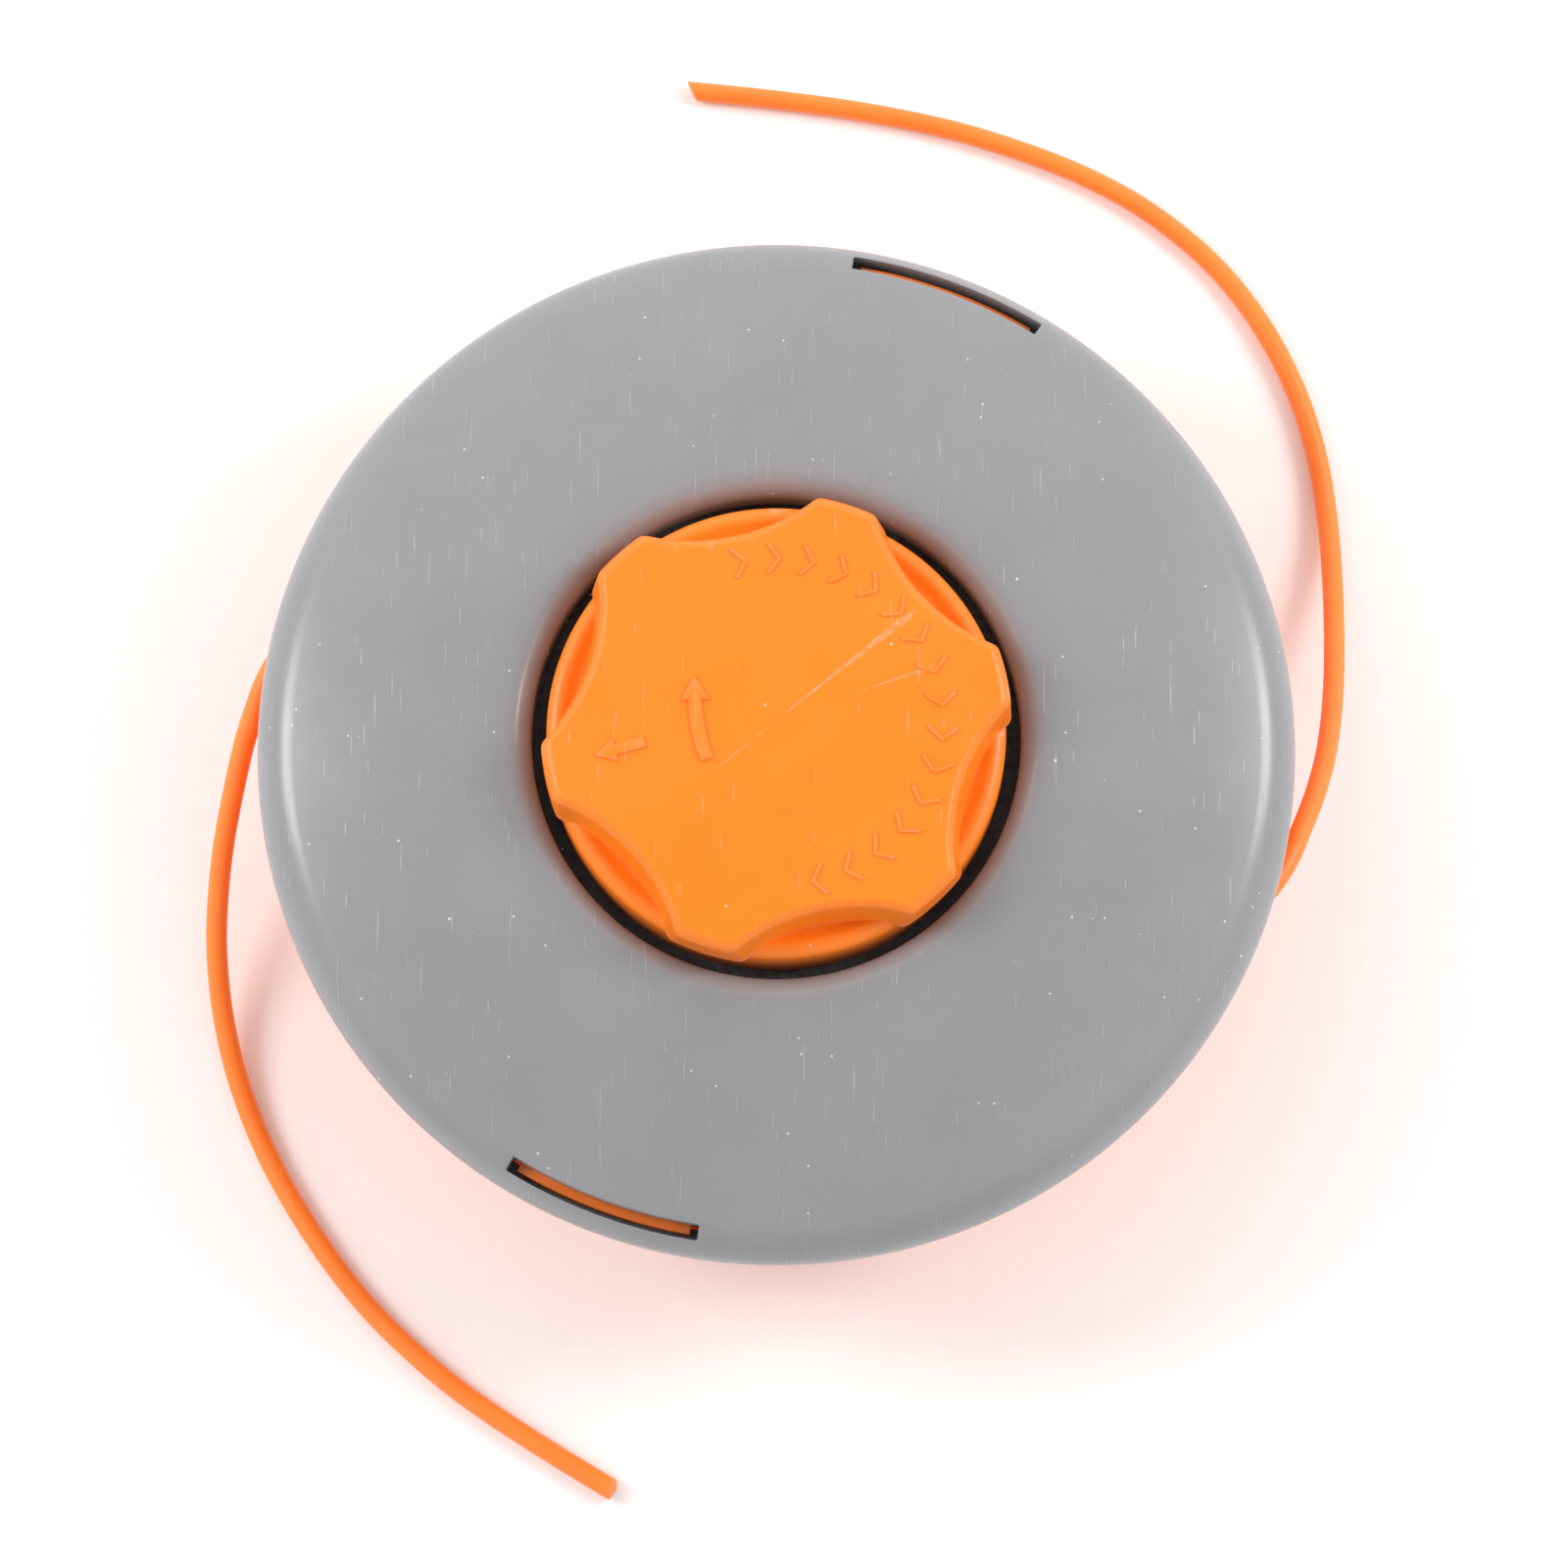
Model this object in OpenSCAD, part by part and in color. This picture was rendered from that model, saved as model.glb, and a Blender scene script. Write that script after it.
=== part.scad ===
// Bump-feed trimmer head: a ribbed housing that screws to the drive shaft, a latched cover,
// and a sprung spool whose lobed knob stands out of the cover.
// The hub face lies at z = 0 and the knob points up. Millimetres.

/* [Cover] */
// Outside diameter over the rim
cover_d = 130; // [124:1:140]
// Radius of the rounded rim
rim_round = 6.5; // [5.5:0.1:7.5]
// Wall of the cover
cover_wall = 2; // [1.6:0.1:2.4]
// Height of the skirt under the widest circle
skirt_h = 3; // [2:0.5:4]
// Radius of the dome's curve, seen in section
dome_r = 146; // [130:1:180]
// Slope of the dome where it meets the rim, in degrees
dome_slope = 15; // [13:0.5:17]
// Diameter of the hole that the knob stands in
bore_d = 60.8; // [58:0.2:64]
// Rounding of the hole's lip
lip_round = 3; // [2.2:0.1:3.6]
// Depth of the collar that guards the hole, below the rounded lip
collar_h = 3.2; // [2:0.2:4]

/* [Windows] */
// Place of the first window around the rim, in degrees
window_angle = 69.6; // [60:0.2:80]
// Arc that each window covers, in degrees
window_arc = 23; // [18:0.2:26]
// Width of each window, across the rim
window_w = 1.85; // [1.5:0.05:2.3]
// Distance from the widest circle in to the window
window_inset = 1.75; // [1.6:0.05:2.1]

/* [Latches] */
// Free gap at each end of a latch
latch_gap = 1.05; // [0.6:0.05:1.5]
// Thickness of a latch arm
latch_t = 2.1; // [1.8:0.1:2.4]
// Height of a latch's barb
barb_h = 2.4; // [1.8:0.1:2.8]
// Height of the catch bar that holds a barb
catch_h = 1.4; // [1:0.1:1.8]

/* [Housing] */
// Diameter of the hub boss
boss_d = 38; // [34:1:42]
// Height of the hub boss
boss_h = 9; // [7:0.5:12]
// Wall of the housing
housing_wall = 2.4; // [2:0.1:2.8]
// Lean of the side wall, in degrees
wall_lean = 15; // [12:0.5:17]
// Rounding between the back plate and the side wall
base_round = 9; // [7:0.5:11]
// Number of stiffening ribs on the back plate
rib_count = 12; // [8:1:16]
// Thickness of a rib
rib_t = 1.8; // [1.4:0.1:2.4]
// Diameter of the centre post
post_d = 17; // [16:0.5:18]
// Bore of the centre post
post_bore_d = 11; // [10.5:0.5:12]

/* [Drive nut] */
// Hexagon across flats
nut_af = 16; // [15:0.5:18]
// Height of the nut
nut_h = 8.6; // [6:0.2:10]
// Bore of the nut, the crest diameter of an M10 x 1.25 left-hand thread
nut_bore_d = 8.64; // [8.4:0.02:8.9]

/* [Spool] */
// Travel of the knob and spool when bumped
bump_travel = 6; // [4:0.5:7]
// Clear height of each line chamber
chamber_h = 6.4; // [5.8:0.2:7.5]
// Thickness of a spool flange
flange_t = 1.6; // [1.4:0.1:2]
// Diameter of the spool's core
core_d = 44; // [42:1:46]
// Wall of the spool's core
core_wall = 4; // [3.6:0.1:4.4]
// Space between the spool and the housing's side wall, at the rim
spool_room = 13; // [12:0.5:15]
// Number of feed teeth in each ring
tooth_count = 12; // [12:6:12]
// Height of a feed tooth
tooth_h = 1.6; // [1.2:0.1:1.9]
// Width of a ring of feed teeth
tooth_w = 5; // [4:0.5:6]
// Depth of wound line in the lower chamber
lower_fill = 17; // [8:1:24]
// Depth of wound line in the upper chamber
upper_fill = 14; // [8:1:24]

/* [Knob] */
// Number of grip lobes
lobe_count = 6; // [4:1:6]
// Place of the first lobe, in degrees
lobe_angle = 12.3; // [0:0.1:59]
// Gap between a lobe's tip and the hole
lobe_gap = 1.5; // [1.3:0.1:1.9]
// Gap between the knob's ring and the hole
ring_gap = 1.9; // [1.6:0.1:2.2]
// Radius at the bottom of a finger grip, on the top edge
grip_r = 24; // [23.4:0.1:25]
// Radius of a finger grip's curve, on the top edge
grip_round = 25; // [18:0.5:30]
// Draft of a finger grip, in degrees
grip_draft = 9; // [6:0.5:10]
// Height of the lobes over the ring
lobe_h = 5.6; // [4.5:0.1:7]
// Height of the ring over the cover's lip
ring_rise = 1.7; // [1:0.1:2.4]
// Rounding of the knob's edges
knob_round = 1.6; // [1.2:0.1:2]
// Rise of the knob's face at the centre
crown = 1.1; // [0.6:0.1:1.6]
// Wall of the knob
knob_wall = 2.6; // [2.2:0.1:3]

/* [Spring] */
// Wire diameter of the feed spring
wire_d = 1.8; // [1.5:0.1:2]
// Mean diameter of the feed spring
coil_d = 26.6; // [26:0.2:27.4]
// Number of turns
coil_turns = 4.5; // [4:0.5:5]
// Thickness of the washer between spring and spool
washer_t = 1.2; // [0.8:0.1:1.6]

/* [Line] */
// Diameter of the cutting line
line_d = 2.7; // [2.4:0.1:2.8]
// Bore of an eyelet
eyelet_bore_d = 4; // [3.8:0.1:4.4]
// Barrel diameter of an eyelet
eyelet_d = 5.6; // [5.4:0.1:6]
// Flange diameter of an eyelet
eyelet_flange_d = 8.4; // [7.6:0.1:9]
// Height of the eyelets over the hub face
eyelet_h = 22; // [21:0.5:24]
// Place of the first eyelet around the wall, in degrees
eyelet_angle = -20.5; // [-26:0.5:-16]
// Lean of an eyelet from the radius, in the direction of winding, in degrees
eyelet_lean = 47; // [40:1:52]

/* [Knob screws] */
// Number of screws that hold the knob
screw_count = 3; // [3:1:4]
// Shank diameter
screw_d = 2.9; // [2.5:0.1:3.1]
// Head diameter
screw_head_d = 5; // [4.5:0.1:5.2]
// Length under the head
screw_l = 10; // [8:0.5:11]

/* [Hidden] */
$fn = 96;
eps = 0.01;

// Clearances that the fits share
face_gap = 0.3;
seat_gap = 0.05;
slide_gap = 0.08;

// Heights, from the hub face up through the spool
plate_in = boss_h + housing_wall;
drum_z = plate_in + face_gap + tooth_h + bump_travel;
mid_z = drum_z + flange_t + chamber_h;
top_z = mid_z + flange_t + chamber_h;
spool_z = top_z + flange_t;
rim_drop = 2.9;
rim_h = spool_z - rim_drop;

// Cover: the rim, dome and lip are three arcs that run into each other
cover_r = cover_d / 2;
bore_r = bore_d / 2;
rim_c = [cover_r - rim_round, rim_h];
dome_c = rim_c - (dome_r - rim_round) * [sin(dome_slope), cos(dome_slope)];
lip_r = bore_r + lip_round;
lip_c = [lip_r, dome_c[1] + dome_up(dome_r - lip_round, lip_r)];
lip_slope = atan2(lip_r - dome_c[0], lip_c[1] - dome_c[1]);
lip_z = lip_c[1] + lip_round * cos(lip_slope);
collar_z = lip_c[1] - collar_h;
collar_r = bore_r + cover_wall;
skirt_in_r = cover_r - cover_wall;
skirt_z = rim_h - skirt_h;
skirt_draft = 0.3;

// Windows and latches
window_out_r = cover_r - window_inset;
window_in_r = window_out_r - window_w;
latch_arc = window_arc - 2 * latch_gap / window_in_r * 180 / PI;
latch_out_r = window_in_r - face_gap;
latch_in_r = latch_out_r - latch_t;
barb_r = window_out_r - 0.8;
rim_in_round = rim_round - cover_wall;
latch_top_z = rim_h + 2.8;
latch_foot_z = rim_h - 12;
catch_z = latch_top_z - barb_h - face_gap - catch_h;
pad_z = skirt_z - 3.4;
pad_h = 2.8;

// Housing: the plate, the base rounding and the leaning wall
wall_r = skirt_in_r - face_gap;
base_c_z = boss_h + base_round;
wall_foot_z = base_c_z - base_round * sin(wall_lean);
base_c_r = wall_r - (skirt_z - wall_foot_z) * tan(wall_lean) - base_round * cos(wall_lean);
wall_top_z = rim_h + 0.8;
ledge_r = wall_r + 0.9;
ledge_h = 1.2;
post_r = post_d / 2;
post_z = spool_z + 3;
boss_r = boss_d / 2;
rib_in_z = 2.5;
rib_out_z = boss_h - 1.2;

// Spool
flange_r = cover_r - spool_room;
core_r = core_d / 2;
core_in_r = core_r - core_wall;
spigot_r = core_in_r - slide_gap;
spool_bore_r = post_r + slide_gap;
sleeve_r = spool_bore_r + 1.9;
washer_z = mid_z + 2;
sleeve_z = washer_z + washer_t + seat_gap;
washer_in_r = post_r + face_gap;
washer_out_r = core_in_r - 1;
spring_z = plate_in + seat_gap;
drum_tooth_inset = 9;
cover_tooth_inset = 15;
drum_tooth_r = flange_r - drum_tooth_inset;
cover_tooth_r = flange_r - cover_tooth_inset;
tooth_pitch = 360 / tooth_count;
line_hole_d = line_d + 0.8;

// Knob
ring_r = bore_r - ring_gap;
tip_r = bore_r - lobe_gap;
ring_z = lip_z + ring_rise;
knob_edge_z = ring_z + lobe_h;
knob_z = knob_edge_z + crown;
knob_skirt_z = spool_z + seat_gap;
knob_in_r = grip_r - knob_wall;
screw_r = (sleeve_r + core_in_r) / 2 - 0.6;
screw_boss_r = screw_d / 2 + 1.5;
screw_head_h = 1.8;
screw_seat_z = top_z - seat_gap;

// Eyelets: a point on the housing wall, and the way the line leaves it
eyelet_r = wall_r - (skirt_z - eyelet_h) * tan(wall_lean) - 1.2;
eyelet_flange_t = 1;
eyelet_l = 5.2;
eyelet_boss_r = eyelet_d / 2 + 1.6;
scoop_r = eyelet_flange_d / 2 + 0.5;
scoop_l = 14;

// Routes of the two free strands: from inside the housing, through the eyelet, then down to the
// floor that the head stands on. Chosen by hand.
route_right = [
    [48.2, -24.3, 22], [52, -22.4, 22], [55.4, -20.7, 22], [59.6, -18.2, 22], [62.6, -15.1, 21.6],
    [64.9, -11.5, 20.7], [66.5, -7.7, 19.4], [68.4, -2.9, 17.3], [70, 2.5, 14.8], [71, 8, 12.2],
    [71.6, 13.6, 9.6], [71.9, 19.3, 7.2], [72, 25.1, 5], [71.9, 31.1, 3.2], [71.5, 37.2, 2],
    [70.7, 43.3, 1.5], [69.3, 49.3, 1.35], [67.2, 55.2, 1.35], [64.4, 60.9, 1.35],
    [61, 66.2, 1.35], [57, 71, 1.35], [52.4, 75.2, 1.35], [47.4, 78.9, 1.35], [42, 82, 1.35],
    [36.3, 84.6, 1.35], [30.4, 86.8, 1.35], [24.4, 88.7, 1.35], [18.3, 90.2, 1.35],
    [12.2, 91.4, 1.35], [6, 92.4, 1.35], [-0.2, 93.2, 1.35], [-6.4, 93.9, 1.35], [-12.6, 94.5, 1.35]
];
route_left = [
    [-48.2, 24.3, 22], [-52, 22.4, 22], [-55.4, 20.7, 22], [-59.6, 18.2, 22], [-62.7, 15.1, 21.6],
    [-65, 11.4, 20.6], [-66.5, 7.7, 19.1], [-67.9, 3.6, 17.2], [-69.3, -1.9, 14.7], [-70.5, -7.5, 12.3],
    [-71.3, -13.1, 9.8], [-71.7, -18.8, 7.3], [-71.5, -24.6, 5.1], [-70.7, -30.4, 3.3],
    [-69.3, -36.2, 2.1], [-67.3, -41.9, 1.5], [-64.8, -47.5, 1.35], [-61.8, -52.9, 1.35],
    [-58.4, -58.2, 1.35], [-54.7, -63.2, 1.35], [-50.6, -67.9, 1.35], [-46.1, -72.2, 1.35],
    [-41.4, -76.2, 1.35], [-36.4, -79.8, 1.35], [-31.2, -83.2, 1.35], [-25.9, -86.5, 1.35],
    [-20.6, -89.7, 1.35]
];

// Points on an arc about c, from angle a to angle b in n steps
function arc(c, r, a, b, n) = [for (i = [0:n]) c + r * [cos(a + (b - a) * i / n), sin(a + (b - a) * i / n)]];

// Height of the dome's circle of radius r over its centre, at distance x from the axis
function dome_up(r, x) = sqrt(r * r - (x - dome_c[0]) * (x - dome_c[0]));

// Height of the dome's inner face at distance x from the axis
function dome_in_z(x) = dome_c[1] + dome_up(dome_r - cover_wall, x);

// A sector of a ring, centred on angle a
module ring_sector(r1, r2, z1, z2, a, span) {
    rotate([0, 0, a - span / 2])
        rotate_extrude(angle = span)
            translate([r1, z1])
                square([r2 - r1, z2 - z1]);
}

// Copies at both ends of a diameter
module at_both_sides() {
    for (turn = [0, 180])
        rotate([0, 0, turn])
            children();
}

// A ring of ratchet teeth: each has one upright flank and one sloping flank.
// way is 1 for teeth that point up and -1 for teeth that hang down.
module tooth_ring(r, base_z, h, foot, phase, way) {
    half = 2.6;
    for (i = [0:tooth_count - 1])
        rotate([0, 0, phase + i * tooth_pitch])
            translate([r, 0, base_z])
                rotate([90, 0, 90])
                    linear_extrude(tooth_w)
                        polygon(way > 0
                            ? [[-half - h, 0], [-half - h, -foot], [half, -foot], [half, h], [-half, h]]
                            : [[half + h, 0], [half + h, foot], [-half, foot], [-half, -h], [half, -h]]);
}

// Places a shape on the eyelet's axis, pointing the way the line leaves
module on_eyelet(turn) {
    rotate([0, 0, eyelet_angle + turn])
        translate([eyelet_r, 0, eyelet_h])
            rotate([0, 0, eyelet_lean])
                rotate([0, 90, 0])
                    children();
}

// Housing

module housing_shell() {
    in_round = base_round - housing_wall;
    lean_t = housing_wall / cos(wall_lean);
    rotate_extrude()
        polygon(concat(
            [[0, boss_h]],
            arc([base_c_r, base_c_z], base_round, -90, -wall_lean, 8),
            [[wall_r, skirt_z - face_gap - ledge_h], [ledge_r, skirt_z - face_gap - ledge_h]],
            [[ledge_r, skirt_z - face_gap], [wall_r, skirt_z - face_gap], [wall_r, wall_top_z - 0.5]],
            [[wall_r - 0.5, wall_top_z], [wall_r - housing_wall, wall_top_z]],
            [[wall_r - lean_t, skirt_z]],
            arc([base_c_r, base_c_z], in_round, -wall_lean, -90, 8),
            [[0, plate_in]]
        ));
}

module housing_ribs() {
    for (i = [0:rib_count - 1])
        rotate([0, 0, (i + 0.5) * 360 / rib_count])
            translate([0, rib_t / 2, 0])
                rotate([90, 0, 0])
                    linear_extrude(rib_t)
                        polygon([
                            [boss_r - 1, rib_in_z], [boss_r + 4, rib_in_z + 0.8],
                            [base_c_r + 3, rib_out_z], [base_c_r + 3, boss_h + 1], [boss_r - 1, boss_h + 1]
                        ]);
}

module latch_arm() {
    ring_sector(latch_in_r, latch_out_r, latch_foot_z, latch_top_z, window_angle, latch_arc);
    ring_sector(latch_out_r - eps, barb_r, latch_top_z - barb_h, latch_top_z, window_angle, latch_arc);
    ring_sector(latch_out_r - eps, ledge_r - 0.4, pad_z, pad_z + pad_h, window_angle, latch_arc - 3);
}

module upper_housing() {
    color("darkorange")
        difference() {
            union() {
                difference() {
                    housing_shell();
                    at_both_sides()
                        ring_sector(latch_in_r - 2.5, ledge_r + 1, pad_z - 1.6, wall_top_z + 1,
                            window_angle, window_arc + 0.6);
                }
                cylinder(h = boss_h + 1, r = boss_r);
                cylinder(h = post_z, r = post_r);
                housing_ribs();
                at_both_sides()
                    latch_arm();
                tooth_ring(drum_tooth_r, plate_in, tooth_h, 0.6, tooth_pitch / 2, 1);
                for (turn = [0, 180])
                    on_eyelet(turn)
                        translate([0, 0, -eyelet_l + eyelet_flange_t + 0.6])
                            cylinder(h = eyelet_l - eyelet_flange_t - 0.6, r = eyelet_boss_r);
            }
            // Hexagon pocket, post bore and lead-in
            translate([0, 0, -1])
                cylinder(h = nut_h + 1.6, r = nut_af / 2 / cos(30) + seat_gap, $fn = 6);
            cylinder(h = post_z - 3, r = post_bore_d / 2);
            // Chamfer round the hub face
            difference() {
                translate([0, 0, -1])
                    cylinder(h = 1.8, r = boss_r + 1);
                translate([0, 0, -1])
                    cylinder(h = 2, r1 = boss_r - 1.8, r2 = boss_r + 0.2);
            }
            for (turn = [0, 180])
                on_eyelet(turn) {
                    translate([0, 0, -eyelet_l - 3])
                        cylinder(h = eyelet_l + 4, r = eyelet_d / 2 + seat_gap);
                    cylinder(h = scoop_l, r = scoop_r);
                }
        }
}

module drive_nut() {
    color("silver")
        translate([0, 0, 0.5])
            difference() {
                cylinder(h = nut_h, r = nut_af / 2 / cos(30), $fn = 6);
                translate([0, 0, -1])
                    cylinder(h = nut_h + 2, r = nut_bore_d / 2);
                for (end = [0, 1])
                    translate([0, 0, end * nut_h])
                        mirror([0, 0, end])
                            translate([0, 0, -0.5])
                                cylinder(h = 1.2, r1 = nut_bore_d / 2 + 1.2, r2 = nut_bore_d / 2);
            }
}

module eyelet(turn) {
    bore_r2 = eyelet_bore_d / 2;
    mouth = 0.8;
    color("lightgray")
        on_eyelet(turn)
            rotate_extrude()
                polygon(concat(
                    [[eyelet_d / 2, -eyelet_l + eyelet_flange_t], [eyelet_d / 2, seat_gap]],
                    [[eyelet_flange_d / 2, seat_gap], [eyelet_flange_d / 2, eyelet_flange_t - 0.3]],
                    [[eyelet_flange_d / 2 - 0.3, eyelet_flange_t]],
                    arc([bore_r2 + mouth, eyelet_flange_t - mouth], mouth, 90, 180, 4),
                    [[bore_r2, -eyelet_l + eyelet_flange_t]]
                ));
}

module eyelet_right() { eyelet(0); }

module eyelet_left() { eyelet(180); }

// Cover

module cover_shell() {
    dome_rim_in = dome_r - cover_wall;
    collar_top = dome_in_z(collar_r);
    collar_a = atan2(collar_top - dome_c[1], collar_r - dome_c[0]);
    rotate_extrude()
        polygon(concat(
            [[skirt_in_r, skirt_z], [cover_r - skirt_draft - 0.4, skirt_z]],
            [[cover_r - skirt_draft, skirt_z + 0.4]],
            arc(rim_c, rim_round, 0, 90 - dome_slope, 10),
            arc(dome_c, dome_r, 90 - dome_slope, 90 - lip_slope, 6),
            arc(lip_c, lip_round, 90 - lip_slope, 180, 8),
            [[bore_r, collar_z], [collar_r, collar_z]],
            arc(dome_c, dome_rim_in, collar_a, 90 - dome_slope, 6),
            arc(rim_c, rim_in_round, 90 - dome_slope, 0, 8)
        ));
}

module cover_catch() {
    ring_sector(window_in_r, skirt_in_r + 0.5, catch_z, catch_z + catch_h, window_angle, window_arc + 3);
}

module lower_cover() {
    tooth_z = spool_z + face_gap;
    color([0.55, 0.55, 0.56])
        difference() {
            union() {
                cover_shell();
                at_both_sides()
                    cover_catch();
                tooth_ring(cover_tooth_r, tooth_z + tooth_h, tooth_h,
                    dome_in_z(cover_tooth_r + tooth_w) - tooth_z - tooth_h + 0.8, tooth_pitch / 2 - 1.5, -1);
            }
            at_both_sides()
                ring_sector(window_in_r, window_out_r, rim_h + 1.2, rim_h + 12, window_angle, window_arc);
        }
}

// Spring and washer

// One ring of the swept wire, at angle a round the axis and height z
function wire_ring(a, z) = [
    for (k = [0:7])
        let (r = coil_d / 2 + wire_d / 2 * cos(k * 45))
        [r * cos(a), r * sin(a), z + wire_d / 2 * sin(k * 45)]
];

// Side and end faces of a sweep with n rings of m points
function sweep_faces(n, m) = concat(
    [[for (k = [0:m - 1]) k]],
    [for (i = [0:n - 2]) for (k = [0:m - 1])
        [i * m + k, (i + 1) * m + k, (i + 1) * m + (k + 1) % m, i * m + (k + 1) % m]],
    [[for (k = [0:m - 1]) (n - 1) * m + m - 1 - k]]
);

module feed_spring() {
    steps = round(coil_turns * 16);
    low = spring_z + wire_d / 2;
    rise = washer_z - seat_gap - wire_d / 2 - low;
    color("gray")
        polyhedron(
            points = [for (i = [0:steps]) each wire_ring(i * 360 / 16, low + rise * i / steps)],
            faces = sweep_faces(steps + 1, 8)
        );
}

module spring_washer() {
    color("silver")
        translate([0, 0, washer_z])
            difference() {
                cylinder(h = washer_t, r = washer_out_r);
                translate([0, 0, -1])
                    cylinder(h = washer_t + 2, r = washer_in_r);
            }
}

// Spool

module spool_drum() {
    color([0.16, 0.16, 0.17])
        difference() {
            union() {
                rotate_extrude()
                    polygon([
                        [core_in_r, drum_z], [flange_r - 0.5, drum_z], [flange_r, drum_z + 0.5],
                        [flange_r, drum_z + flange_t - 0.4], [core_r, drum_z + flange_t],
                        [core_r, mid_z], [flange_r, mid_z + 0.3], [flange_r, mid_z + flange_t - 0.3],
                        [core_r, mid_z + flange_t], [core_r, top_z], [core_in_r, top_z]
                    ]);
                tooth_ring(drum_tooth_r, drum_z, tooth_h, 0.6, 0, -1);
            }
            // Holes that take the line into each chamber
            for (side = [0, 1])
                rotate([0, 0, 90 + 180 * side])
                    translate([core_in_r - 2, 0, side * (chamber_h + flange_t) + drum_z + flange_t + chamber_h / 2])
                        rotate([0, 90, 0])
                            cylinder(h = core_wall + 4, r = line_hole_d / 2);
        }
}

module spool_top() {
    color([0.16, 0.16, 0.17])
        difference() {
            union() {
                rotate_extrude()
                    polygon([
                        [spool_bore_r, sleeve_z], [sleeve_r, sleeve_z], [sleeve_r, top_z],
                        [spigot_r - 1.6, top_z], [spigot_r - 1.6, top_z - 2], [spigot_r, top_z - 2],
                        [spigot_r, top_z + seat_gap], [core_r, top_z + seat_gap],
                        [flange_r, top_z + 0.4], [flange_r, spool_z - 0.5],
                        [flange_r - 0.5, spool_z], [spool_bore_r, spool_z]
                    ]);
                tooth_ring(cover_tooth_r, spool_z, tooth_h, 0.6, 0, 1);
            }
            // Screw holes, with room for the heads beside the sleeve and the spigot
            for (i = [0:screw_count - 1])
                rotate([0, 0, i * 360 / screw_count])
                    translate([screw_r, 0, screw_seat_z]) {
                        translate([0, 0, -screw_head_h - face_gap])
                            cylinder(h = screw_head_h + face_gap + seat_gap, r = screw_head_d / 2 + slide_gap);
                        cylinder(h = flange_t + 1, r = screw_d / 2 + 0.25);
                    }
        }
}

// Line wound in one chamber: two turns lie side by side on its outside
module winding(z, depth) {
    turn_r = line_d / 2;
    out_r = core_r + depth;
    rotate_extrude() {
        translate([core_r + slide_gap, z - line_d])
            square([depth - turn_r, 2 * line_d]);
        for (side = [-1, 1])
            translate([out_r - turn_r, z + side * turn_r])
                circle(r = turn_r);
    }
}

module winding_lower() {
    color([1, 0.5, 0.18])
        winding(drum_z + flange_t + chamber_h / 2, lower_fill);
}

module winding_upper() {
    color([1, 0.5, 0.18])
        winding(mid_z + flange_t + chamber_h / 2, upper_fill);
}

// Knob

module knob_blank() {
    edge_r = tip_r - knob_round;
    face_r = (edge_r * edge_r + crown * crown) / (2 * crown);
    face_a = asin(edge_r / face_r);
    rotate_extrude()
        polygon(concat(
            [[0, ring_z - 1], [tip_r + 0.15, ring_z - 1]],
            arc([edge_r, knob_edge_z - knob_round], knob_round, 0, 90 - face_a, 5),
            arc([0, knob_z - face_r], face_r, 90 - face_a, 89, 5),
            [[0, knob_z]]
        ));
}

// The finger grips: drafted curves that open into a small chamfer at the top edge.
// Each cutter is the quarter of a cone that faces the knob.
module finger_grips() {
    foot_r = grip_round - lobe_h * tan(grip_draft);
    chamfer = 0.7;
    for (i = [0:lobe_count - 1])
        rotate([0, 0, lobe_angle + (i + 0.5) * 360 / lobe_count])
            translate([grip_r + grip_round, 0, ring_z])
                rotate([0, 0, 135])
                    rotate_extrude(angle = 90)
                        polygon([
                            [0, 0], [foot_r, 0], [grip_round, lobe_h - chamfer],
                            [grip_round + chamfer + crown, lobe_h + crown], [0, lobe_h + crown]
                        ]);
}

module knob_ring() {
    groove = 0.6;
    rotate_extrude()
        polygon(concat(
            [[knob_in_r, knob_skirt_z], [ring_r, knob_skirt_z]],
            arc([ring_r - knob_round, ring_z - knob_round], knob_round, 0, 90, 5),
            [[ring_r - knob_round - 0.8, ring_z - groove], [knob_in_r, ring_z - groove]]
        ));
}

module knob_bosses() {
    for (i = [0:screw_count - 1])
        rotate([0, 0, i * 360 / screw_count])
            translate([screw_r, 0, knob_skirt_z])
                cylinder(h = knob_edge_z - knob_wall - knob_skirt_z + 0.4, r = screw_boss_r);
}

module knob_hollow() {
    translate([0, 0, knob_skirt_z - 1]) {
        cylinder(h = knob_edge_z - knob_wall - knob_skirt_z + 1, r = knob_in_r);
        cylinder(h = ring_z - knob_wall - knob_skirt_z + 1, r = ring_r - knob_wall);
    }
}

module bump_knob() {
    color("darkorange")
        difference() {
            union() {
                difference() {
                    union() {
                        difference() {
                            knob_blank();
                            finger_grips();
                        }
                        knob_ring();
                    }
                    knob_hollow();
                }
                knob_bosses();
            }
            for (i = [0:screw_count - 1])
                rotate([0, 0, i * 360 / screw_count])
                    translate([screw_r, 0, knob_skirt_z - 1])
                        cylinder(h = screw_l + 1, r = screw_d / 2 + seat_gap);
        }
}

module knob_screws() {
    color("silver")
        for (i = [0:screw_count - 1])
            rotate([0, 0, i * 360 / screw_count])
                translate([screw_r, 0, screw_seat_z]) {
                    translate([0, 0, -screw_head_h])
                        cylinder(h = screw_head_h, r = screw_head_d / 2);
                    cylinder(h = screw_l, r = screw_d / 2);
                }
}

// Free strands

function unit(v) = v / norm(v);

// The way the route runs at point i
function heading(route, i) = unit(route[min(i + 1, len(route) - 1)] - route[max(i - 1, 0)]);

// One ring of the tube round point i
function strand_ring(route, i) =
    let (d = heading(route, i))
    let (side = unit(cross(d, [0, 0, 1])))
    let (up = cross(side, d))
    [for (k = [0:7]) route[i] + line_d / 2 * (side * cos(k * 45) + up * sin(k * 45))];

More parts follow.
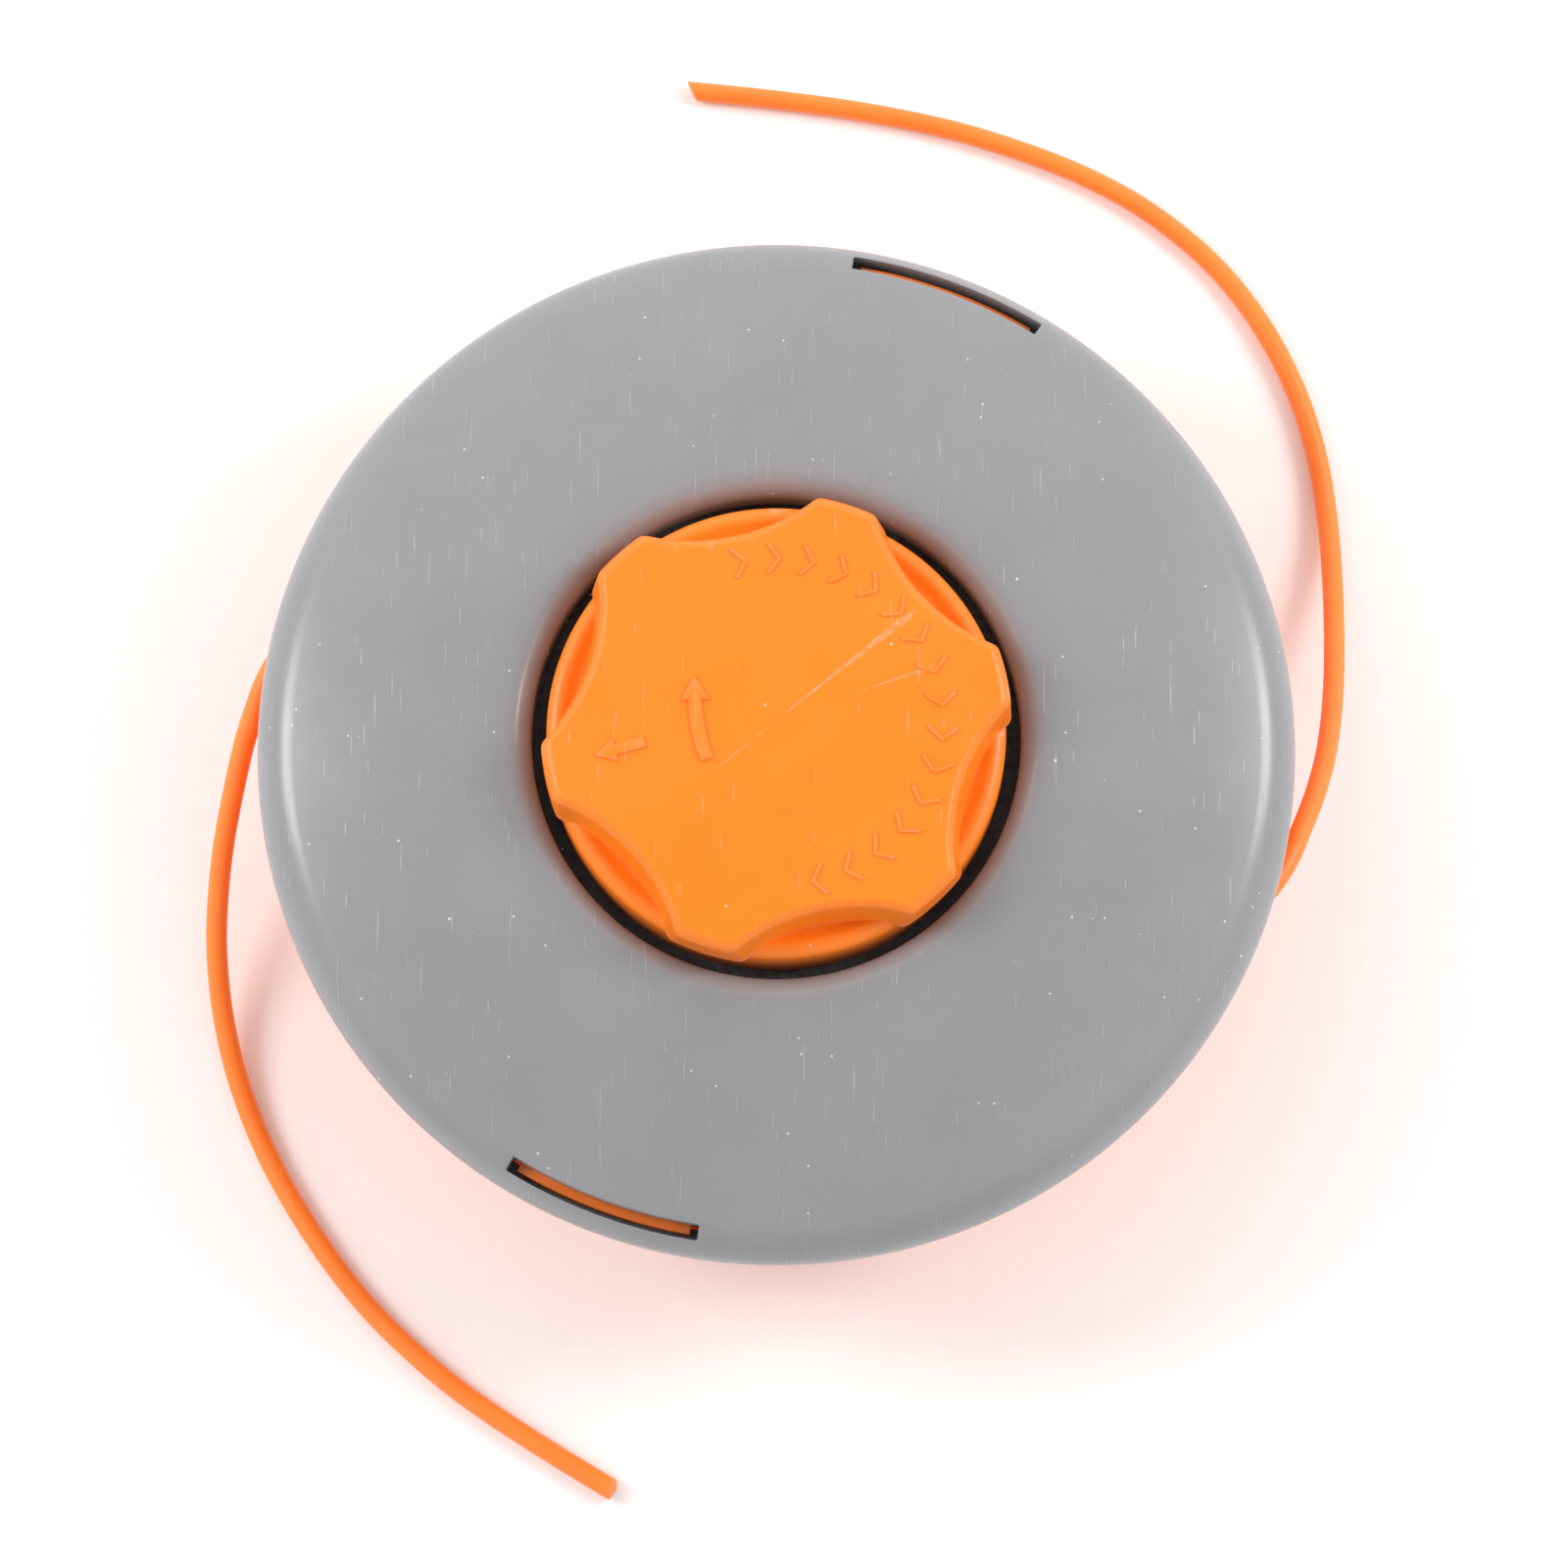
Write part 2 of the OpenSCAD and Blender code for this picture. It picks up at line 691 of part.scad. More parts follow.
module strand(route) {
    color([1, 0.5, 0.18])
        polyhedron(
            points = [for (i = [0:len(route) - 1]) each strand_ring(route, i)],
            faces = sweep_faces(len(route), 8)
        );
}

module line_strand_right() { strand(route_right); }

module line_strand_left() { strand(route_left); }

upper_housing();
drive_nut();
eyelet_right();
eyelet_left();
lower_cover();
feed_spring();
spring_washer();
spool_drum();
spool_top();
winding_lower();
winding_upper();
bump_knob();
knob_screws();
line_strand_right();
line_strand_left();
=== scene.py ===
import math

import bmesh
import bpy
from mathutils import Matrix, Vector, noise
from mathutils.geometry import interpolate_bezier


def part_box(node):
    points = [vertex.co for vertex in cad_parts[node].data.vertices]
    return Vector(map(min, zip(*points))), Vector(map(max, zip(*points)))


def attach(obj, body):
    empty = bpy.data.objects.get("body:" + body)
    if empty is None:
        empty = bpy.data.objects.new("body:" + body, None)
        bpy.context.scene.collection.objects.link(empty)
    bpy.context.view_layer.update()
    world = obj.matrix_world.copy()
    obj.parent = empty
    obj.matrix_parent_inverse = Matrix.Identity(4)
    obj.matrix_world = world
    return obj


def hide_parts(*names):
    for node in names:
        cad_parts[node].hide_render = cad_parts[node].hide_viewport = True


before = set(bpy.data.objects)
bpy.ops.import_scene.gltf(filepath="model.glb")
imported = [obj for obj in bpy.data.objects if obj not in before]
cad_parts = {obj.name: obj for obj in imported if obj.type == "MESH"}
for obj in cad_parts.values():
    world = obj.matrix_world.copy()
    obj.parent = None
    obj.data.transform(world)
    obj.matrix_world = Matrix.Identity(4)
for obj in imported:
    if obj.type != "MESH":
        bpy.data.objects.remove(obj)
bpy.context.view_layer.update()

bl_info = {
    "name": "Trimmer head",
    "version": (1, 0, 0),
    "blender": (4, 5, 0),
    "location": "3D View > Sidebar > Trimmer head",
    "description": "Dresses a bump-feed trimmer head: cover, knob, cutting line and finishes",
    "category": "Object",
}

mm = 0.001
Z_AXIS = Vector((0, 0, 1))
COVER_LOW, COVER_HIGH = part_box("lower_cover")
KNOB_LOW, KNOB_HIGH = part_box("bump_knob")
SCREWS_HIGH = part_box("knob_screws")[1]

# Feed teeth that hang in the cover
TOOTH_COUNT = 12
TOOTH_R = 37 * mm
TOOTH_W = 5 * mm
TOOTH_H = 1.6 * mm
TOOTH_HALF = 2.6 * mm
TOOTH_RISE = 4.8 * mm
TOOTH_PHASE = math.radians(13.5)

# Catch bars behind the latch windows
CATCH_H = 1.4 * mm
CATCH_RISE = 0.1 * mm
CATCH_SPARE_ARC = 3

# Inside of the knob
SCREW_HEAD_R = 2.5 * mm
BOSS_R = 2.95 * mm
BOSS_HOLE_R = 1.5 * mm
GROOVE_DEPTH = 0.6 * mm
GRIP_CHAMFER = 0.7 * mm
FOOT_GROW = 0.15 * mm


# Sizes and colours that a user would change

class CoverSettings(bpy.types.PropertyGroup):
    rim_r: bpy.props.FloatProperty(
        name="Rim radius", description="Widest circle of the cover",
        default=COVER_HIGH.x, unit="LENGTH")
    rim_round: bpy.props.FloatProperty(
        name="Rim rounding", description="Radius of the rounded rim", default=6.5 * mm, unit="LENGTH")
    wall: bpy.props.FloatProperty(
        name="Wall", description="Wall of the cover", default=2 * mm, unit="LENGTH")
    skirt_h: bpy.props.FloatProperty(
        name="Skirt", description="Height of the skirt under the widest circle",
        default=3 * mm, unit="LENGTH")
    dome_r: bpy.props.FloatProperty(
        name="Dome radius", description="Radius of the dome's curve in section",
        default=146 * mm, unit="LENGTH")
    dome_slope: bpy.props.FloatProperty(
        name="Dome slope", description="Slope of the dome where it meets the rim",
        default=math.radians(15), subtype="ANGLE")
    hole_r: bpy.props.FloatProperty(
        name="Hole radius", description="Hole that the knob stands in", default=30.4 * mm, unit="LENGTH")
    lip_round: bpy.props.FloatProperty(
        name="Lip rounding", description="Radius of the hole's rounded lip",
        default=3 * mm, unit="LENGTH")
    collar_h: bpy.props.FloatProperty(
        name="Collar", description="Depth of the collar below the rounded lip",
        default=3.2 * mm, unit="LENGTH")
    window_angle: bpy.props.FloatProperty(
        name="Window place", description="Middle of the first latch window",
        default=math.radians(69.6), subtype="ANGLE")
    window_arc: bpy.props.IntProperty(
        name="Window arc", description="Arc of a latch window, in whole degrees", default=23)
    window_out_r: bpy.props.FloatProperty(
        name="Window outside", description="Outer radius of a latch window",
        default=63.25 * mm, unit="LENGTH")
    window_in_r: bpy.props.FloatProperty(
        name="Window inside", description="Inner radius of a latch window",
        default=61.4 * mm, unit="LENGTH")
    colour: bpy.props.FloatVectorProperty(
        name="Grey", description="Colour of the cover", subtype="COLOR", default=(0.262, 0.262, 0.272))


class KnobSettings(bpy.types.PropertyGroup):
    tip_r: bpy.props.FloatProperty(
        name="Lobe radius", description="Radius over the lobes", default=KNOB_HIGH.x, unit="LENGTH")
    grip_r: bpy.props.FloatProperty(
        name="Grip radius", description="Radius at the bottom of a finger grip",
        default=24 * mm, unit="LENGTH")
    grip_round: bpy.props.FloatProperty(
        name="Grip rounding", description="Radius of a finger grip's curve",
        default=25 * mm, unit="LENGTH")
    corner_round: bpy.props.FloatProperty(
        name="Corner rounding", description="Radius of a lobe's corners", default=1.5 * mm, unit="LENGTH")
    ring_r: bpy.props.FloatProperty(
        name="Ring radius", description="Radius of the ring at the knob's foot",
        default=28.5 * mm, unit="LENGTH")
    ring_z: bpy.props.FloatProperty(
        name="Ring height", description="Top of the ring", default=46.52 * mm, unit="LENGTH")
    lobe_h: bpy.props.FloatProperty(
        name="Lobe height", description="Height of the lobes over the ring",
        default=5.6 * mm, unit="LENGTH")
    edge_round: bpy.props.FloatProperty(
        name="Edge rounding", description="Rounding of the lobes' top edge and of the ring",
        default=1.6 * mm, unit="LENGTH")
    draft: bpy.props.FloatProperty(
        name="Grip draft", description="Draft of a finger grip's wall",
        default=math.radians(9), subtype="ANGLE")
    wall: bpy.props.FloatProperty(
        name="Wall", description="Wall of the knob", default=2.6 * mm, unit="LENGTH")
    lobe_angle: bpy.props.FloatProperty(
        name="Lobe place", description="Place of the first lobe",
        default=math.radians(12.3), subtype="ANGLE")
    lobe_count: bpy.props.IntProperty(name="Lobes", description="Number of lobes", default=6)
    colour: bpy.props.FloatVectorProperty(
        name="Orange", description="Colour of the knob", subtype="COLOR", default=(0.98, 0.215, 0.006))


class LineSettings(bpy.types.PropertyGroup):
    diameter: bpy.props.FloatProperty(
        name="Line diameter", description="Diameter of the cutting line", default=2.7 * mm, unit="LENGTH")
    worn: bpy.props.FloatProperty(
        name="Worn end", description="Share of the diameter left at the right strand's end",
        default=0.92, subtype="FACTOR")
    colour: bpy.props.FloatVectorProperty(
        name="Line orange", description="Colour of the cutting line", subtype="COLOR",
        default=(0.98, 0.225, 0.022))


class StageSettings(bpy.types.PropertyGroup):
    distance: bpy.props.FloatProperty(
        name="Camera distance", description="Distance from camera to target", default=1.0249, unit="LENGTH")
    elevation: bpy.props.FloatProperty(
        name="Camera elevation", description="Elevation of the camera over the horizon",
        default=math.radians(79.346), subtype="ANGLE")
    lens: bpy.props.FloatProperty(
        name="Lens", description="Focal length in millimetres on a 36 mm sensor", default=187.98)
    softbox: bpy.props.FloatProperty(
        name="Softbox power", description="Power of one side softbox in watts", default=3.2)
    sky: bpy.props.FloatProperty(
        name="Surround", description="Strength of the white surround", default=1.0)


SETTINGS = {
    "head_cover": CoverSettings,
    "head_knob": KnobSettings,
    "head_line": LineSettings,
    "head_stage": StageSettings,
}

# The free strands' routes, as in the solids: out of the eyelets and down to the floor
ROUTE_RIGHT = [
    (0.0482, -0.0243, 0.022), (0.052, -0.0224, 0.022), (0.0554, -0.0207, 0.022),
    (0.0596, -0.0182, 0.022), (0.0626, -0.0151, 0.0216), (0.0649, -0.0115, 0.0207),
    (0.0665, -0.0077, 0.0194), (0.0684, -0.0029, 0.0173), (0.07, 0.0025, 0.0148),
    (0.071, 0.008, 0.0122), (0.0716, 0.0136, 0.0096), (0.0719, 0.0193, 0.0072),
    (0.072, 0.0251, 0.005), (0.0719, 0.0311, 0.0032), (0.0715, 0.0372, 0.002),
    (0.0707, 0.0433, 0.0015), (0.0693, 0.0493, 0.00135), (0.0672, 0.0552, 0.00135),
    (0.0644, 0.0609, 0.00135), (0.061, 0.0662, 0.00135), (0.057, 0.071, 0.00135),
    (0.0524, 0.0752, 0.00135), (0.0474, 0.0789, 0.00135), (0.042, 0.082, 0.00135),
    (0.0363, 0.0846, 0.00135), (0.0304, 0.0868, 0.00135), (0.0244, 0.0887, 0.00135),
    (0.0183, 0.0902, 0.00135), (0.0122, 0.0914, 0.00135), (0.006, 0.0924, 0.00135),
    (-0.0002, 0.0932, 0.00135), (-0.0064, 0.0939, 0.00135), (-0.0126, 0.0945, 0.00135),
]
ROUTE_LEFT = [
    (-0.0482, 0.0243, 0.022), (-0.052, 0.0224, 0.022), (-0.0554, 0.0207, 0.022),
    (-0.0596, 0.0182, 0.022), (-0.0627, 0.0151, 0.0216), (-0.065, 0.0114, 0.0206),
    (-0.0665, 0.0077, 0.0191), (-0.0679, 0.0036, 0.0172), (-0.0693, -0.0019, 0.0147),
    (-0.0705, -0.0075, 0.0123), (-0.0713, -0.0131, 0.0098), (-0.0717, -0.0188, 0.0073),
    (-0.0715, -0.0246, 0.0051), (-0.0707, -0.0304, 0.0033), (-0.0693, -0.0362, 0.0021),
    (-0.0673, -0.0419, 0.0015), (-0.0648, -0.0475, 0.00135), (-0.0618, -0.0529, 0.00135),
    (-0.0584, -0.0582, 0.00135), (-0.0547, -0.0632, 0.00135), (-0.0506, -0.0679, 0.00135),
    (-0.0461, -0.0722, 0.00135), (-0.0414, -0.0762, 0.00135), (-0.0364, -0.0798, 0.00135),
    (-0.0312, -0.0832, 0.00135), (-0.0259, -0.0865, 0.00135), (-0.0206, -0.0897, 0.00135),
]


# Mesh helpers

def smooth_step(low, high, x):
    """0 below low, 1 above high and a smooth rise between."""
    t = min(1.0, max(0.0, (x - low) / (high - low)))
    return t * t * (3 - 2 * t)


def polar(radius, angle, z=0.0):
    """Point at that radius and angle round the drive axis."""
    return Vector((radius * math.cos(angle), radius * math.sin(angle), z))


def arc_points(centre, radius, start, end, steps):
    """Points on an arc in the section plane, as (distance from the axis, height)."""
    angles = [start + (end - start) * i / steps for i in range(steps + 1)]
    return [(centre[0] + radius * math.cos(a), centre[1] + radius * math.sin(a)) for a in angles]


def revolve(bm, section, steps, start=0.0, closed=True, angle=2 * math.pi):
    """Spins a section of (distance, height) points round the drive axis."""
    turn = Matrix.Rotation(start, 3, "Z")
    verts = [bm.verts.new(turn @ Vector((r, 0, z))) for r, z in section]
    edges = [bm.edges.new(pair) for pair in zip(verts, verts[1:])]
    if closed:
        edges.append(bm.edges.new((verts[-1], verts[0])))
    full = abs(angle - 2 * math.pi) < 1e-6
    made = bmesh.ops.spin(bm, geom=verts + edges, cent=(0, 0, 0), axis=Z_AXIS, angle=angle,
                          steps=steps, use_merge=full)
    return verts, made["geom_last"]


def soften(bm, width, segments=2, least=math.radians(30), keep=None):
    """Bevels every edge that is sharper than the least angle."""
    edges = [e for e in bm.edges if e.is_manifold and e.calc_face_angle(0) > least]
    if keep is not None:
        edges = [e for e in edges if keep(e)]
    bmesh.ops.bevel(bm, geom=edges, offset=width, offset_type="OFFSET", segments=segments,
                    profile=0.5, affect="EDGES", clamp_overlap=True, material=-1)


def finish_piece(name, bm, material, body, replaces=(), smooth=math.radians(38)):
    """Makes the object, shades it smooth up to an angle and puts it on its body."""
    mesh = bpy.data.meshes.new(name)
    bm.to_mesh(mesh)
    bm.free()
    mesh.materials.append(material)
    mesh.polygons.foreach_set("use_smooth", [True] * len(mesh.polygons))
    mesh.set_sharp_from_angle(angle=smooth)
    piece = bpy.data.objects.new(name, mesh)
    bpy.context.scene.collection.objects.link(piece)
    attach(piece, body)
    if replaces:
        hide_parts(*replaces)
    return piece


def softened_copy(node, name, material, body, width, least=math.radians(30)):
    """A merged copy of a CAD node with its flat faces joined and its edges rounded."""
    bm = bmesh.new()
    bm.from_mesh(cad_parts[node].data)
    bmesh.ops.remove_doubles(bm, verts=bm.verts, dist=0.002 * mm)
    bmesh.ops.dissolve_limit(bm, angle_limit=math.radians(0.4), verts=bm.verts, edges=bm.edges)
    soften(bm, width, least=least)
    return finish_piece(name, bm, material, body, replaces=(node,))


# Shader helpers

def new_group(name, inputs, outputs):
    """A shader node group with float or colour sockets, and its two end nodes."""
    group = bpy.data.node_groups.new(name, "ShaderNodeTree")
    for label, kind, value in inputs:
        made = group.interface.new_socket(name=label, in_out="INPUT", socket_type="NodeSocket" + kind)
        made.default_value = value
    for label, kind in outputs:
        group.interface.new_socket(name=label, in_out="OUTPUT", socket_type="NodeSocket" + kind)
    return group, group.nodes.new("NodeGroupInput"), group.nodes.new("NodeGroupOutput")


def place(tree, kind, values=None, **settings):
    """Adds a node, sets its properties, and its sockets by name, number or link."""
    node = tree.nodes.new("ShaderNode" + kind)
    for key, value in settings.items():
        setattr(node, key, value)
    for key, value in (values or {}).items():
        if isinstance(value, bpy.types.NodeSocket):
            tree.links.new(value, node.inputs[key])
        else:
            node.inputs[key].default_value = value
    return node


def maths(tree, operation, a, b=0.0, clamp=False):
    """Output of a Math node."""
    return place(tree, "Math", {0: a, 1: b}, operation=operation, use_clamp=clamp).outputs[0]


def remap(tree, value, low, high, to_low=0.0, to_high=1.0):
    """Value taken from one range to another, clamped."""
    values = {"Value": value, "From Min": low, "From Max": high, "To Min": to_low, "To Max": to_high}
    return place(tree, "MapRange", values, clamp=True).outputs["Result"]


def blend_colour(tree, factor, a, b, mode="MIX"):
    """Output of a colour Mix node."""
    mix = place(tree, "Mix", data_type="RGBA", blend_type=mode, clamp_factor=True)
    for index, value in ((0, factor), (6, a), (7, b)):
        if isinstance(value, bpy.types.NodeSocket):
            tree.links.new(value, mix.inputs[index])
        else:
            mix.inputs[index].default_value = value if index == 0 else tuple(value)[:3] + (1.0,)
    return mix.outputs[2]


def object_point(tree, scale=(1, 1, 1), turn=0.0):
    """Object coordinates, scaled and turned about the drive axis."""
    coords = place(tree, "TexCoord").outputs["Object"]
    values = {"Vector": coords, "Rotation": (0, 0, turn), "Scale": scale}
    return place(tree, "Mapping", values).outputs["Vector"]


def noise_value(tree, point, scale, detail=3.0, rough=0.5):
    """Fac output of a Noise node."""
    values = {"Vector": point, "Scale": scale, "Detail": detail, "Roughness": rough}
    return place(tree, "TexNoise", values).outputs["Fac"]


def mottle_group():
    """Slow colour drift, fine mould grain and a wavy surface, as moulded nylon has."""
    group, start, end = new_group(
        "Moulded Grain",
        [("Drift Scale", "Float", 60.0), ("Grain Scale", "Float", 1800.0)],
        [("Drift", "Float"), ("Grain", "Float"), ("Height", "Float")])
    point = object_point(group)
    drift = noise_value(group, point, start.outputs["Drift Scale"], 4.0, 0.55)
    grain = noise_value(group, point, start.outputs["Grain Scale"], 2.0, 0.6)
    wave = noise_value(group, point, 140.0, 2.0)
    height = maths(group, "ADD", maths(group, "MULTIPLY", grain, 0.25), wave)
    group.links.new(remap(group, drift, 0.3, 0.7), end.inputs["Drift"])
    group.links.new(grain, end.inputs["Grain"])
    group.links.new(height, end.inputs["Height"])
    return group


def scratch_group():
    """Short fine scratches that lie at several angles, few and uneven."""
    group, start, end = new_group(
        "Fine Scratches",
        [("Amount", "Float", 0.5)],
        [("Mask", "Float")])
    total = None
    patches = noise_value(group, object_point(group), 35.0, 2.0)
    for turn, across, along in ((0.5, 1500, 70), (1.7, 2100, 110), (2.6, 1200, 45), (3.9, 1700, 90)):
        point = object_point(group, (across, along, 60), turn)
        bent = place(group, "VectorMath", {0: point, 1: noise_colour(group)}, operation="ADD")
        cells = place(group, "TexVoronoi", {"Vector": bent.outputs[0], "Scale": 1.0},
                      voronoi_dimensions="3D", feature="F1")
        thin = remap(group, cells.outputs["Distance"], 0.02, 0.17, 1.0, 0.0)
        chosen = place(group, "SeparateColor", {0: cells.outputs["Color"]}).outputs[0]
        limit = maths(group, "SUBTRACT", 1.0, maths(group, "MULTIPLY", start.outputs["Amount"], patches))
        kept = maths(group, "GREATER_THAN", chosen, limit)
        mask = maths(group, "MULTIPLY", thin, kept)
        total = mask if total is None else maths(group, "MAXIMUM", total, mask)
    group.links.new(total, end.inputs["Mask"])
    return group


def noise_colour(tree):
    """A small wandering offset that keeps scratches from being dead straight."""
    values = {"Vector": object_point(tree), "Scale": 120.0, "Detail": 1.0}
    return place(tree, "TexNoise", values).outputs["Color"]


def dust_group():
    """Small pale specks of dust, scattered thinly."""
    group, start, end = new_group("Dust Specks", [("Amount", "Float", 0.2)], [("Mask", "Float")])
    total = None
    for scale, size in ((260.0, 0.06), (520.0, 0.09)):
        cells = place(group, "TexVoronoi", {"Vector": object_point(group), "Scale": scale},
                      voronoi_dimensions="3D", feature="F1")
        dot = remap(group, cells.outputs["Distance"], size * 0.5, size, 1.0, 0.0)
        chosen = place(group, "SeparateColor", {0: cells.outputs["Color"]}).outputs[1]
        kept = maths(group, "LESS_THAN", chosen, start.outputs["Amount"])
        mask = maths(group, "MULTIPLY", dot, kept)
        total = mask if total is None else maths(group, "MAXIMUM", total, mask)
    group.links.new(total, end.inputs["Mask"])
    return group


def wear_group():
    """Rubbed, paler edges, broken up by noise."""
    group, start, end = new_group("Edge Wear", [("Amount", "Float", 0.5)], [("Mask", "Float")])
    point = place(group, "NewGeometry").outputs["Pointiness"]
    edge = remap(group, point, 0.52, 0.62)
    broken = remap(group, noise_value(group, object_point(group), 900.0, 3.0, 0.7), 0.35, 0.65)
    mask = maths(group, "MULTIPLY", maths(group, "MULTIPLY", edge, broken), start.outputs["Amount"])
    group.links.new(mask, end.inputs["Mask"])
    return group


def use_group(tree, name, values):
    """Places a shared group in a material with its own values."""
    makers = {"Moulded Grain": mottle_group, "Fine Scratches": scratch_group,
              "Dust Specks": dust_group, "Edge Wear": wear_group}
    group = bpy.data.node_groups.get(name) or makers[name]()
    node = tree.nodes.new("ShaderNodeGroup")
    node.node_tree = group
    for key, value in values.items():
        node.inputs[key].default_value = value
    return node


def new_material(name):
    """An empty node material, with its tree and its Principled shader."""
    material = bpy.data.materials.new(name)
    material.use_nodes = True
    tree = material.node_tree
    return material, tree, tree.nodes["Principled BSDF"]


def moulded_plastic(name, colour, roughness, grain=0.02, scratches=0.4, dust=0.2, wear=0.3,
                    drift=0.06, coat=0.0, specular=0.5):
    """Moulded nylon: uneven colour, mould grain, scratches, dust and rubbed edges."""
    found = bpy.data.materials.get(name)
    if found:
        return found
    material, tree, shader = new_material(name)
    mottle = use_group(tree, "Moulded Grain", {})
    scratch = use_group(tree, "Fine Scratches", {"Amount": scratches}).outputs["Mask"]
    specks = use_group(tree, "Dust Specks", {"Amount": dust}).outputs["Mask"]
    rubbed = use_group(tree, "Edge Wear", {"Amount": wear}).outputs["Mask"]
    dark = [c * (1 - drift) for c in colour]
    light = [min(1.0, c * (1 + drift)) for c in colour]
    pale = [c + (1 - c) * 0.32 for c in colour]
    base = blend_colour(tree, mottle.outputs["Drift"], dark, light)
    base = blend_colour(tree, maths(tree, "MULTIPLY", scratch, 0.35), base, pale)
    base = blend_colour(tree, rubbed, base, pale)
    base = blend_colour(tree, maths(tree, "MULTIPLY", specks, 0.8), base, (0.78, 0.76, 0.72))
    patchy = remap(tree, mottle.outputs["Drift"], 0, 1, roughness * 0.85, roughness * 1.15)
    rough = maths(tree, "ADD", patchy, maths(tree, "MULTIPLY", scratch, 0.25))
    tree.links.new(base, shader.inputs["Base Color"])
    tree.links.new(maths(tree, "ADD", rough, maths(tree, "MULTIPLY", rubbed, 0.2), clamp=True),
                   shader.inputs["Roughness"])
    height = maths(tree, "SUBTRACT", mottle.outputs["Height"], maths(tree, "MULTIPLY", scratch, 1.5))
    bump = place(tree, "Bump", {"Strength": 1.0, "Distance": grain * mm, "Height": height})
    tree.links.new(bump.outputs["Normal"], shader.inputs["Normal"])
    shader.inputs["Coat Weight"].default_value = coat
    shader.inputs["Coat Roughness"].default_value = 0.08
    shader.inputs["Specular IOR Level"].default_value = specular
    return material


def metal(name, colour, roughness, rings=0.0):
    """Plated or turned metal: fine grain, faint turning marks and dull patches."""
    found = bpy.data.materials.get(name)
    if found:
        return found
    material, tree, shader = new_material(name)
    mottle = use_group(tree, "Moulded Grain", {"Drift Scale": 180.0, "Grain Scale": 2600.0})
    rubbed = use_group(tree, "Edge Wear", {"Amount": 0.6}).outputs["Mask"]
    dark = [c * 0.82 for c in colour]
    base = blend_colour(tree, mottle.outputs["Drift"], dark, colour)
    base = blend_colour(tree, rubbed, base, [min(1.0, c * 1.25) for c in colour])
    tree.links.new(base, shader.inputs["Base Color"])
    tree.links.new(remap(tree, mottle.outputs["Drift"], 0, 1, roughness * 1.25, roughness * 0.8),
                   shader.inputs["Roughness"])
    turned = place(tree, "TexWave", {"Vector": object_point(tree), "Scale": 900.0, "Distortion": 1.5},
                   wave_type="BANDS", bands_direction="Z").outputs["Fac"]
    height = maths(tree, "ADD", maths(tree, "MULTIPLY", turned, rings), mottle.outputs["Grain"])
    bump = place(tree, "Bump", {"Strength": 1.0, "Distance": 0.01 * mm, "Height": height})
    tree.links.new(bump.outputs["Normal"], shader.inputs["Normal"])
    shader.inputs["Metallic"].default_value = 1.0
    return material


def line_nylon():
    """Extruded nylon line: satin, with faint colour drift and pale scuffs."""
    name = "orange_nylon_line"
    found = bpy.data.materials.get(name)
    if found:
        return found
    material, tree, shader = new_material(name)
    colour = bpy.context.scene.head_line.colour
    mottle = use_group(tree, "Moulded Grain", {"Drift Scale": 90.0, "Grain Scale": 2400.0})
    scratch = use_group(tree, "Fine Scratches", {"Amount": 0.5}).outputs["Mask"]
    base = blend_colour(tree, mottle.outputs["Drift"], [c * 0.95 for c in colour],
                        [min(1.0, c * 1.06) for c in colour])
    base = blend_colour(tree, maths(tree, "MULTIPLY", scratch, 0.3), base, (1.0, 0.5, 0.2))
    tree.links.new(base, shader.inputs["Base Color"])
    tree.links.new(remap(tree, mottle.outputs["Drift"], 0, 1, 0.42, 0.5), shader.inputs["Roughness"])
    bump = place(tree, "Bump", {"Strength": 1.0, "Distance": 0.015 * mm, "Height": mottle.outputs["Height"]})
    tree.links.new(bump.outputs["Normal"], shader.inputs["Normal"])
    shader.inputs["Subsurface Weight"].default_value = 0.15
    shader.inputs["Subsurface Scale"].default_value = 1.2 * mm
    shader.inputs["Subsurface Radius"].default_value = (1.0, 0.4, 0.1)
    return material


def cover_plastic():
    colour = bpy.context.scene.head_cover.colour
    return moulded_plastic("grey_cover_nylon", colour, 0.24, grain=0.012, scratches=0.42, dust=0.16,
                           wear=0.15, drift=0.035)


def knob_plastic():
    colour = bpy.context.scene.head_knob.colour
    return moulded_plastic("orange_knob_nylon", colour, 0.38, grain=0.02, scratches=0.2, dust=0.05,
                           wear=0.5, drift=0.03)


def housing_plastic():
    return moulded_plastic("orange_housing_nylon", (0.93, 0.185, 0.008), 0.36, grain=0.03,
                           scratches=0.4, dust=0.1, wear=0.35, drift=0.04)


def spool_plastic():
    return moulded_plastic("black_spool_nylon", (0.022, 0.022, 0.024), 0.5, grain=0.04,
                           scratches=0.5, dust=0.3, wear=0.3, drift=0.1)


# Stage: camera, floor, surround and softboxes

def make_camera():
    stage = bpy.context.scene.head_stage
    target = Vector((0.959 * mm, -4.354 * mm, 34.0 * mm))
    back = Vector((0, -math.cos(stage.elevation), math.sin(stage.elevation)))
    lens = bpy.data.cameras.new("studio_camera")
    lens.lens = stage.lens
    lens.sensor_width = 36
    lens.clip_start = 0.05
    lens.clip_end = 20
    camera = bpy.data.objects.new("studio_camera", lens)
    camera.location = target + back * stage.distance
    camera.rotation_euler = (math.pi / 2 - stage.elevation, 0, 0)
    bpy.context.scene.collection.objects.link(camera)
    bpy.context.scene.camera = camera


